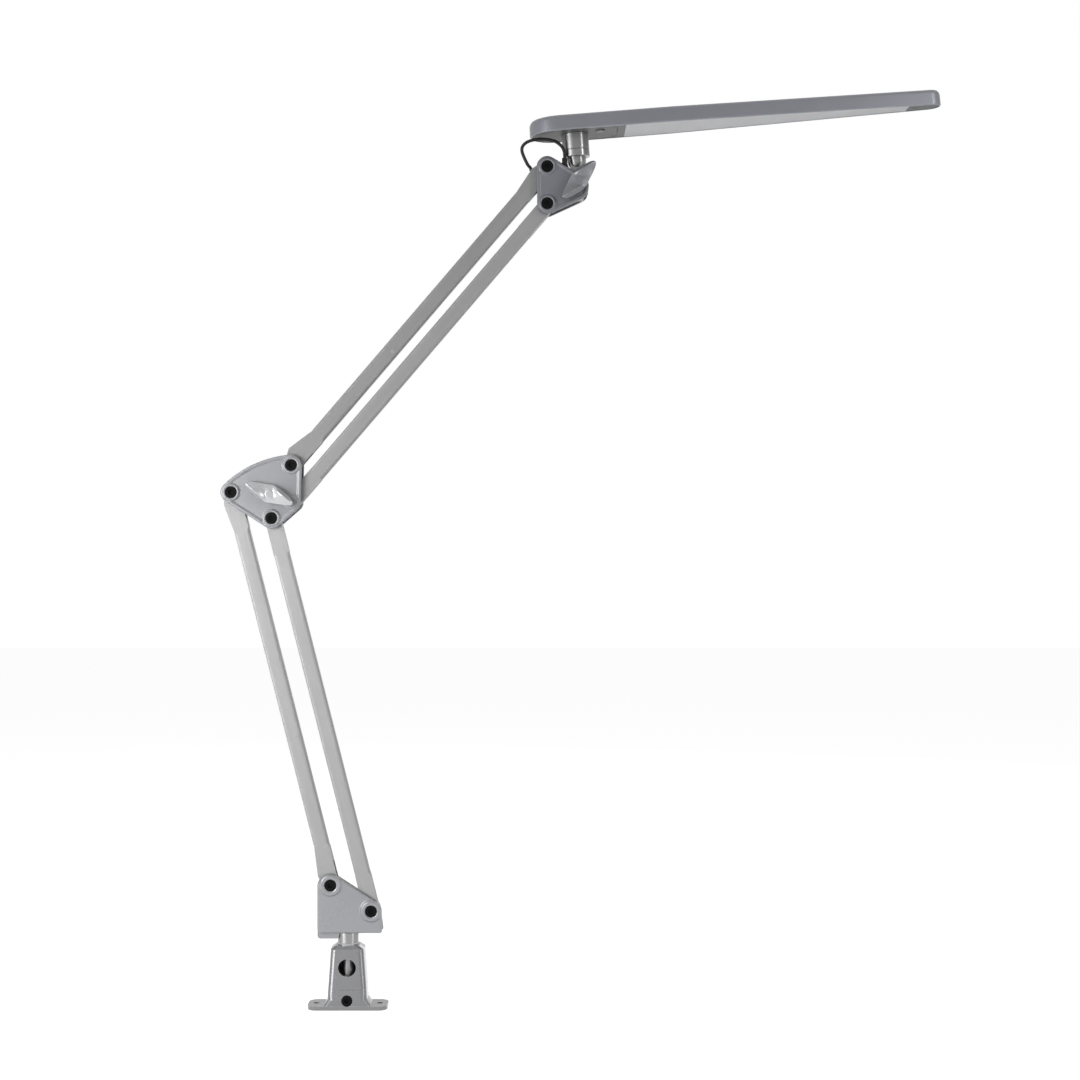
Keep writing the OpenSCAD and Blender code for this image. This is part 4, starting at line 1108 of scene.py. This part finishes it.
@dataclass
class Arm:
    """Two parallel bars and the spring inside one of them."""

    shop: FinishShop
    first_bar: str
    second_bar: str
    spring: str
    body: str
    start: Point
    lean: float
    finish: Finish
    second_finish: Finish
    coil_radius: float = 2.9
    wire_radius: float = 0.6
    wire_sides: int = 8
    coil_turns: int = 22
    coil_length: float = 92.0
    rings_per_turn: int = 16
    anchor_radius: float = 11.0
    peg_radius: float = 1.1
    pin_from_end: float = 150.0
    pin_radius: float = 1.5
    eye_gap: float = 0.15
    eye_y: float = -0.7
    first_eye: tuple[int, float] = (13, -25.0)
    last_eye: tuple[int, float] = (11, 27.5)
    spring_z: float = -2.3
    hook: float = 7.0

    def build(self) -> None:
        """Dresses the bars and winds the spring."""
        self.shop.dress((
            (self.first_bar, self.finish, EdgeRound.BAR),
            (self.second_bar, self.second_finish, EdgeRound.BAR),
            (f"{self.spring}_pin", ZINC, EdgeRound.SMALL),
        ))
        line = [in_frame(self.start, self.lean, *place) for place in self._spring_line()]
        mesh = tube_mesh(line, self.wire_radius * MM, self.wire_sides)
        obj = place_mesh(f"{self.spring}_coil", mesh, self.shop.get(SPRING_WIRE))
        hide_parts(self.spring)
        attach(obj, self.body)
        log.info("wound %s", obj.name)

    def _spring_line(self) -> list[Triple]:
        """The wire's middle line, from the eye on the anchor's peg to the eye on the pin.

        Returns:
            Its points along the bar, in depth and square to the bar, in millimetres.
        """
        eye = self.peg_radius + self.wire_radius + self.eye_gap
        last_eye = self.pin_radius + self.wire_radius + self.eye_gap
        peg = bar_end((0.0, 0.0), self.anchor_radius, math.pi / 2 - self.lean)
        coil_end = self.pin_from_end - self.hook - eye
        places: list[Triple] = []
        for k in range(self.first_eye[0]):
            turn = math.radians(self.first_eye[1] * k)
            places.append((peg[0] + eye * math.cos(turn), self.eye_y, peg[1] + eye * math.sin(turn)))
        places.append((coil_end - self.coil_length - self.hook, 0.0, self.spring_z))
        steps = self.coil_turns * self.rings_per_turn
        for k in range(steps + 1):
            turn = 2 * math.pi * k / self.rings_per_turn
            places.append((coil_end - self.coil_length * (1 - k / steps),
                           self.coil_radius * math.sin(turn),
                           self.spring_z + self.coil_radius * math.cos(turn)))
        places.append((coil_end + self.hook / 2, 0.0, self.spring_z))
        for k in range(self.last_eye[0]):
            turn = math.radians(self.last_eye[1] * k)
            places.append((self.pin_from_end - last_eye * math.cos(turn), 0.0,
                           self.spring_z + last_eye * math.sin(turn)))
        return places


class WingEnd(Enum):
    """Which wing knob a shape belongs to."""

    ELBOW = "elbow_knob"
    HEAD = "head_knob"


@dataclass
class WingKnob:
    """A knob with two tapering blades, each with a ridge near one of its sides, and a low hub."""

    shop: FinishShop
    which: WingEnd
    at: Point
    angle: float
    finish: Finish
    body: str
    reach: float = 1.0
    low_y: float = -14.3
    wall_drop: float = 1.0
    wall_swell: Point = (1.012, 1.03)
    low_rise: float = 0.5
    low_swell: Point = (1.005, 1.01)
    foot_swell: Point = (0.985, 0.96)
    ridge_crease: float = 0.75
    rim_crease: float = 0.45
    smoothing: int = 3
    hub_radius: float = 5.0
    hub_low_y: float = -18.8
    hub_high_y: float = -18.95
    hub_crown: float = 0.15
    hub_shares: Triple = (1.0, 0.9, 0.72)
    rim: tuple[Triple, ...] = (
        (25.3, -1.1, -20.4), (25.4, 2.0, -20.2), (20.8, 4.9, -18.6), (13.0, 7.3, -17.6),
        (6.5, 9.1, -17.0), (0.0, 9.3, -17.0), (-3.2, 8.4, -16.8), (-12.0, 5.8, -16.7),
        (-20.0, 3.7, -17.6),
    )
    crest: tuple[Triple, ...] = (
        (24.0, 0.9, -22.0), (17.0, 3.0, -23.5), (10.0, 4.7, -23.2), (4.6, 5.9, -21.2),
    )

    def build(self) -> None:
        """Makes the knob over its construction solid."""
        mesh = bmesh.new()
        crease = mesh.edges.layers.float.new("crease_edge")
        rim = [(x * self.reach, z, y) for x, z, y in self.rim]
        walls = [self._ring(mesh, rim)]
        for (long, wide), depths in (
            (self.wall_swell, [y + self.wall_drop for _, _, y in rim]),
            (self.low_swell, [self.low_y - self.low_rise] * len(rim)),
            (self.foot_swell, [self.low_y] * len(rim)),
        ):
            walls.append(self._ring(mesh, [(x * long, z * wide, y)
                                           for (x, z, _), y in zip(rim, depths)]))
        join_rings(mesh, walls)
        mesh.faces.new(list(reversed(walls[-1])))
        top = walls[0]
        ridges = self._ring(mesh, [(x * self.reach, z, y) for x, z, y in self.crest])
        self._roof(mesh, top, ridges, self._hub(mesh))
        sharp = {(ridges[k], ridges[k + 1]) for k in (0, 1, 2, 4, 5, 6)}
        for edge in mesh.edges:
            pair = (edge.verts[0], edge.verts[1])
            if pair in sharp or pair[::-1] in sharp:
                edge[crease] = self.ridge_crease
            elif pair[0] in top and pair[1] in top:
                edge[crease] = self.rim_crease
        obj = place_mesh(f"{self.which.value}_wings", mesh, self.shop.get(self.finish))
        subdivide(obj, self.smoothing)
        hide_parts(self.which.value)
        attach(obj, self.body)
        log.info("made %s", obj.name)

    def _ring(self, mesh: Mesh, half: list[Triple]) -> list[Vert]:
        """Adds points and the same points turned half round the knob's axis.

        Args:
            mesh: The knob's mesh.
            half: Points along the blade, across it and in depth.

        Returns:
            The vertices of both halves.
        """
        whole = half + [(-x, -z, y) for x, z, y in half]
        return [mesh.verts.new(in_frame(self.at, self.angle, x, y, z)) for x, z, y in whole]

    def _hub(self, mesh: Mesh) -> list[Vert]:
        """Adds the low round hub.

        Args:
            mesh: The knob's mesh.

        Returns:
            Its outer ring of eight vertices, counter-clockwise from just above the right side.
        """
        turns = [math.radians(22.5 + 45 * k) for k in range(4)]
        depths = (self.hub_low_y, self.hub_high_y, self.hub_high_y - self.hub_crown)
        rings = []
        for share, depth in zip(self.hub_shares, depths):
            radius = self.hub_radius * share
            rings.append(self._ring(mesh, [(radius * math.cos(a), radius * math.sin(a), depth)
                                           for a in turns]))
        join_rings(mesh, rings)
        mesh.faces.new(rings[-1])
        return rings[0]

    @staticmethod
    def _roof(mesh: Mesh, top: list[Vert], ridges: list[Vert], hub: list[Vert]) -> None:
        """Joins the rim, the ridges and the hub.

        Args:
            mesh: The knob's mesh.
            top: The top rim, nine vertices for each half.
            ridges: The ridges' vertices, each from its tip inwards.
            hub: The hub's outer ring.
        """
        for turn in (0, 1):
            p = [top[(k + 9 * turn) % 18] for k in range(19)]
            own = ridges[4 * turn: 4 * turn + 4]
            other = ridges[4 - 4 * turn: 8 - 4 * turn]
            h = [hub[(k + 4 * turn) % 8] for k in range(8)]
            for face in (
                (p[0], p[1], own[0]), (p[1], p[2], own[0]), (p[2], p[3], own[1], own[0]),
                (p[3], p[4], own[2], own[1]), (p[4], p[5], own[3], own[2]), (p[5], h[1], own[3]),
                (p[5], p[6], h[2], h[1]), (p[6], p[7], h[3], h[2]), (p[7], other[2], h[4], h[3]),
                (other[2], other[3], h[5], h[4]), (p[7], p[8], other[1], other[2]),
                (p[8], p[9], other[0], other[1]),
            ):
                mesh.faces.new(face)


@dataclass
class Elbow:
    """The two cast plates that join the arms, with their knob."""

    shop: FinishShop
    out_radius: float = 10.42
    inner_radius: float = 10.5
    low_radius: float = 9.5
    top_radius: float = 10.1
    bulge_from_pivots: float = 97.5
    bulge_radius: float = 108.0
    boss_radius: float = 7.9
    cap_radius: float = 6.6
    knob_angle: float = math.radians(-25)
    solids: tuple[Row, ...] = (
        ("elbow_body", ELBOW_PAINT, EdgeRound.CAST),
        ("elbow_spring_anchor", ZINC, EdgeRound.SMALL),
        ("elbow_friction_disc", FIBRE, EdgeRound.MIDDLE),
        ("elbow_knob_bolt", ZINC, EdgeRound.MIDDLE),
    )

    def build(self) -> None:
        """Dresses the elbow's solids, and makes its front plate and knob."""
        self.shop.dress(self.solids + pivot_rows("elbow"))
        self._front_plate()
        WingKnob(self.shop, WingEnd.ELBOW, PLACES.elbow_knob, self.knob_angle, KNOB_PAINT,
                 "elbow_tension_knob").build()

    def _front_plate(self) -> None:
        """Makes the front plate, whose fourth boss has a closed cap."""
        out, top, inner, low = PLACES.elbow_out, PLACES.elbow_top, PLACES.elbow_in, PLACES.elbow_low
        step = PLACES.elbow_step
        chord = math.hypot(*step)
        rise = math.sqrt(self.bulge_from_pivots ** 2 - (chord / 2) ** 2) / chord
        bulge = ((out[0] + top[0]) / 2 + rise * step[1], (out[1] + top[1]) / 2 - rise * step[0],
                 self.bulge_radius)
        circles = [(*inner, self.inner_radius), (*low, self.low_radius), (*top, self.top_radius),
                   bulge, (*out, self.out_radius)]
        bosses = [(*place, self.boss_radius) for place in (out, inner, top)]
        CastPlate("elbow_plate", "elbow", self.shop.get(ELBOW_PAINT), circles, [out, inner, top],
                  bosses + [(*low, self.cap_radius)]).build()


@dataclass
class HeadBracket:
    """The bracket at the end of the upper arm, with its knob and the lead's boot."""

    shop: FinishShop
    low_radius: float = 10.0
    top_radius: float = 10.5
    low_tilt_corner: Circle = (-1.0, -7.7, 10.5)
    high_tilt_corner: Circle = (-0.6, -4.2, 10.5)
    boss_radius: float = 7.9
    knob_angle: float = math.radians(46.6)
    knob_reach: float = 0.94
    solids: tuple[Row, ...] = (
        ("head_bracket_body", SHADED_BRACKET_PAINT, EdgeRound.CAST),
        ("tilt_washers", FIBRE, EdgeRound.SMALL),
        ("head_knob_bolt", ZINC, EdgeRound.MIDDLE),
        ("lead_boot", RUBBER, EdgeRound.SOFT),
    )

    def build(self) -> None:
        """Dresses the bracket's solids, and makes its front plate and knob."""
        self.shop.dress(self.solids + pivot_rows("head"))
        top, low, tilt = PLACES.head_top, PLACES.head_low, PLACES.tilt
        circles = [(*low, self.low_radius), circle_near(tilt, self.low_tilt_corner),
                   circle_near(tilt, self.high_tilt_corner), (*top, self.top_radius)]
        CastPlate("head_plate", "head_bracket", self.shop.get(SHADED_BRACKET_PAINT), circles, [top, low],
                  [(*top, self.boss_radius), (*low, self.boss_radius)],
                  rim_height=0.9, crown=0.5).build()
        WingKnob(self.shop, WingEnd.HEAD, tilt, self.knob_angle, SHADED_HEAD_KNOB_PAINT,
                 "head_tension_knob", reach=self.knob_reach).build()


@dataclass
class Head:
    """The post, the flat head and what it holds."""

    shop: FinishShop
    solids: tuple[Row, ...] = (
        ("head_post", POST_STEEL, EdgeRound.TURNED),
        ("head_collar", POST_STEEL, EdgeRound.SOFT),
        ("swivel_washer", ZINC, EdgeRound.SMALL),
        ("swivel_nut", ZINC, EdgeRound.MIDDLE),
        ("head_shell", HEAD_PAINT, EdgeRound.MOULDED),
        ("head_base", BASE_PLASTIC, EdgeRound.MOULDED),
        ("diffuser", DIFFUSER, EdgeRound.MOULDED),
        ("led_board", BOARD_WHITE, EdgeRound.BOARD),
        ("leds", LED_LENS, EdgeRound.SHARP),
        ("heat_spreader", ZINC, EdgeRound.SMALL),
        ("driver_board", BOARD_GREEN, EdgeRound.SMALL),
        ("cover_screws", BASE_PLASTIC, EdgeRound.SMALL),
        ("switch_button", BUTTON_PLASTIC, EdgeRound.TURNED),
    )

    def build(self) -> None:
        """Dresses the head's solids."""
        self.shop.dress(self.solids)


@dataclass
class Leads:
    """The lead from the yoke's socket through both arms to the head."""

    shop: FinishShop
    inner_leads: tuple[str, ...] = ("yoke_lead", "lower_lead", "elbow_lead", "upper_lead", "post_lead")
    radius: float = 1.6
    lead_y: float = 1.9
    bar_z: float = 3.9
    last_level: float = 22.0
    last_end: float = 12.5
    end_rise: float = 10.6
    run: float = 3.0
    end_gap: float = 0.25
    sides: int = 16
    steps: int = 8
    route: tuple[Triple, ...] = (
        (-19.9, -2.0, 4.4), (-24.8, -4.0, 15.4), (-23.9, -6.0, 21.4), (-17.4, -8.0, 25.6),
        (-5.4, -9.0, 27.2), (6.6, -9.8, 25.2), (14.0, -10.3, 20.0), (17.0, -10.2, 13.9),
        (17.2, -9.8, 10.4), (17.2, -9.6, 8.2), (17.5, -8.2, 6.0), (18.2, -5.6, 3.8),
        (19.2, -3.6, 1.4), (19.8, -3.2, -2.0),
    )
    boot_mouth: int = 8

    def build(self) -> None:
        """Lays the free loop, and dresses the lengths that run inside."""
        self._loop()
        self.shop.dress(tuple((node, RUBBER, EdgeRound.SHARP) for node in self.inner_leads))
        for node in self.inner_leads:
            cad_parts[node].data.shade_smooth()
            subdivide(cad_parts[node], 1)

    def _loop(self) -> None:
        """Makes the free loop between the upper arm and the head bracket."""
        at = in_frame(PLACES.elbow_top, UPPER_LEAN, PLACES.upper_length - self.last_end, 0.0,
                      self.end_rise)
        before = in_frame(PLACES.elbow_top, UPPER_LEAN, PLACES.upper_length - self.last_level,
                          self.lead_y, self.bar_z)
        top = PLACES.head_top
        free = [Vector((top[0] + x, y, top[1] + z)) * MM for x, y, z in self.route]
        along = (free[0] - before).normalized()
        points = [at + along * self.end_gap * MM, at + along * self.run * MM] + free
        line = smooth_line(points, self.steps)
        obj = place_mesh("loop_lead_sheath", tube_mesh(line, self.radius * MM, self.sides),
                         self.shop.get(RUBBER))
        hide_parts("loop_lead")
        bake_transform(obj)


@dataclass(frozen=True)
class SoftBox:
    """A rectangular lamp: its place, its width and height in metres, and its power in watts."""

    name: str
    place: Triple
    size: Point
    power: float

    def build(self, aim: Vector) -> None:
        """Hangs the lamp and turns it.

        Args:
            aim: The point that it shines at.
        """
        data = bpy.data.lights.new(self.name, "AREA")
        data.shape = "RECTANGLE"
        data.size, data.size_y = self.size
        data.energy = self.power
        lamp = bpy.data.objects.new(self.name, data)
        lamp.location = self.place
        lamp.rotation_mode = "QUATERNION"
        lamp.rotation_quaternion = (aim - Vector(self.place)).to_track_quat("-Z", "Y")
        lamp.visible_camera = False
        bpy.context.scene.collection.objects.link(lamp)


@dataclass
class Studio:
    """The camera at the photograph's place, soft lamps, and the pale floor and world."""

    eye: Triple = (0.1902, -1.8, 0.4631)
    lens: float = 60.48
    sensor: float = 36.0
    world_light: float = 0.2
    mirror_loss: float = 0.3
    floor_grey: float = 0.55
    floor_lift: float = 0.86
    floor_reach: float = 6.0
    floor_at: Triple = (0.2, 0.0, -0.0005)
    aim: Triple = (0.05, 0.0, 0.48)
    lamps: tuple[SoftBox, ...] = (
        SoftBox("key_box", (-0.6, -0.55, 0.5), (0.5, 0.5), 4.6),
        SoftBox("left_strip", (-1.0, -0.85, 0.75), (0.25, 1.8), 4.5),
        SoftBox("right_strip", (1.3, -0.75, 0.75), (0.14, 1.8), 7.5),
        SoftBox("front_box", (-1.3, -2.0, 0.3), (0.7, 0.7), 4.0),
        SoftBox("rear_box", (0.6, 2.0, 0.9), (0.8, 0.8), 3.0),
        SoftBox("top_box", (0.2, 0.3, 2.0), (1.6, 1.0), 2.0),
    )

    def build(self) -> None:
        """Sets up everything that isn't the lamp."""
        bpy.context.scene.view_settings.view_transform = "Standard"
        self._add_camera()
        self._add_world()
        self._add_floor()
        for lamp in self.lamps:
            lamp.build(Vector(self.aim))

    def _add_camera(self) -> None:
        """Makes the scene's camera, level and square to the lamp's plane."""
        data = bpy.data.cameras.new("front_camera")
        data.lens = self.lens
        data.sensor_width = self.sensor
        camera = bpy.data.objects.new("front_camera", data)
        camera.location = self.eye
        camera.rotation_euler = (math.radians(90), 0, 0)
        bpy.context.scene.collection.objects.link(camera)
        bpy.context.scene.camera = camera

    @staticmethod
    def _seen(box: NodeBox) -> tuple[Socket, Socket]:
        """Adds masks of the rays that see the background.

        Args:
            box: The tree's node helper.

        Returns:
            The masks of rays that see it directly and of those that see it mirrored.
        """
        rays = box.add("ShaderNodeLightPath").outputs
        return box.math("MAXIMUM", rays["Is Camera Ray"], rays["Is Transmission Ray"]), rays["Is Glossy Ray"]

    def _add_world(self) -> None:
        """White where it is seen, and plain grey where it lights."""
        world = bpy.data.worlds.new("studio_world")
        bpy.context.scene.world = world
        box = NodeBox.cleared(world)
        background = box.add("ShaderNodeBackground")
        background.inputs["Color"].default_value = (1.0, 1.0, 1.0, 1.0)
        direct, mirrored = self._seen(box)
        lift = box.math("MAXIMUM", box.math("MULTIPLY", direct, 1.0 - self.world_light),
                        box.math("MULTIPLY", mirrored, 1.0 - self.world_light - self.mirror_loss))
        box.link(box.math("ADD", lift, self.world_light), background.inputs["Strength"])
        out = box.add("ShaderNodeOutputWorld")
        box.link(background.outputs["Background"], out.inputs["Surface"])

    def _add_floor(self) -> None:
        """A wide pale floor that keeps the lamp's shadow."""
        mesh = bmesh.new()
        bmesh.ops.create_grid(mesh, x_segments=4, y_segments=4, size=self.floor_reach)
        material = bpy.data.materials.new("pale_floor")
        box = NodeBox.cleared(material)
        matt = box.add("ShaderNodeBsdfDiffuse")
        box.put(grey(self.floor_grey), matt.inputs["Color"])
        lift = box.add("ShaderNodeEmission")
        seen = box.math("MAXIMUM", *self._seen(box))
        box.link(box.math("MULTIPLY", seen, self.floor_lift), lift.inputs["Strength"])
        both = box.add("ShaderNodeAddShader")
        box.link(matt.outputs["BSDF"], both.inputs[0])
        box.link(lift.outputs["Emission"], both.inputs[1])
        out = box.add("ShaderNodeOutputMaterial")
        box.link(both.outputs["Shader"], out.inputs["Surface"])
        floor = place_mesh("floor", mesh, material)
        floor.location = self.floor_at


def main() -> None:
    """Builds the lamp's looks in order."""
    logging.basicConfig(level=logging.INFO)
    Studio().build()
    shop = FinishShop()
    Leads(shop).build()
    MountBase(shop).build()
    Column(shop).build()
    Arm(shop, "lower_outer_bar", "lower_inner_bar", "lower_spring", "lower_outer_arm",
        PLACES.yoke_out, LOWER_LEAN, LIT_LOWER_BAR, LIT_LOWER_BAR).build()
    Elbow(shop).build()
    Arm(shop, "upper_top_bar", "upper_bottom_bar", "upper_spring", "upper_top_arm",
        PLACES.elbow_top, UPPER_LEAN, SHADED_UPPER_BAR, LIT_UNDER_BAR).build()
    HeadBracket(shop).build()
    Head(shop).build()


if __name__ == "__main__":
    main()
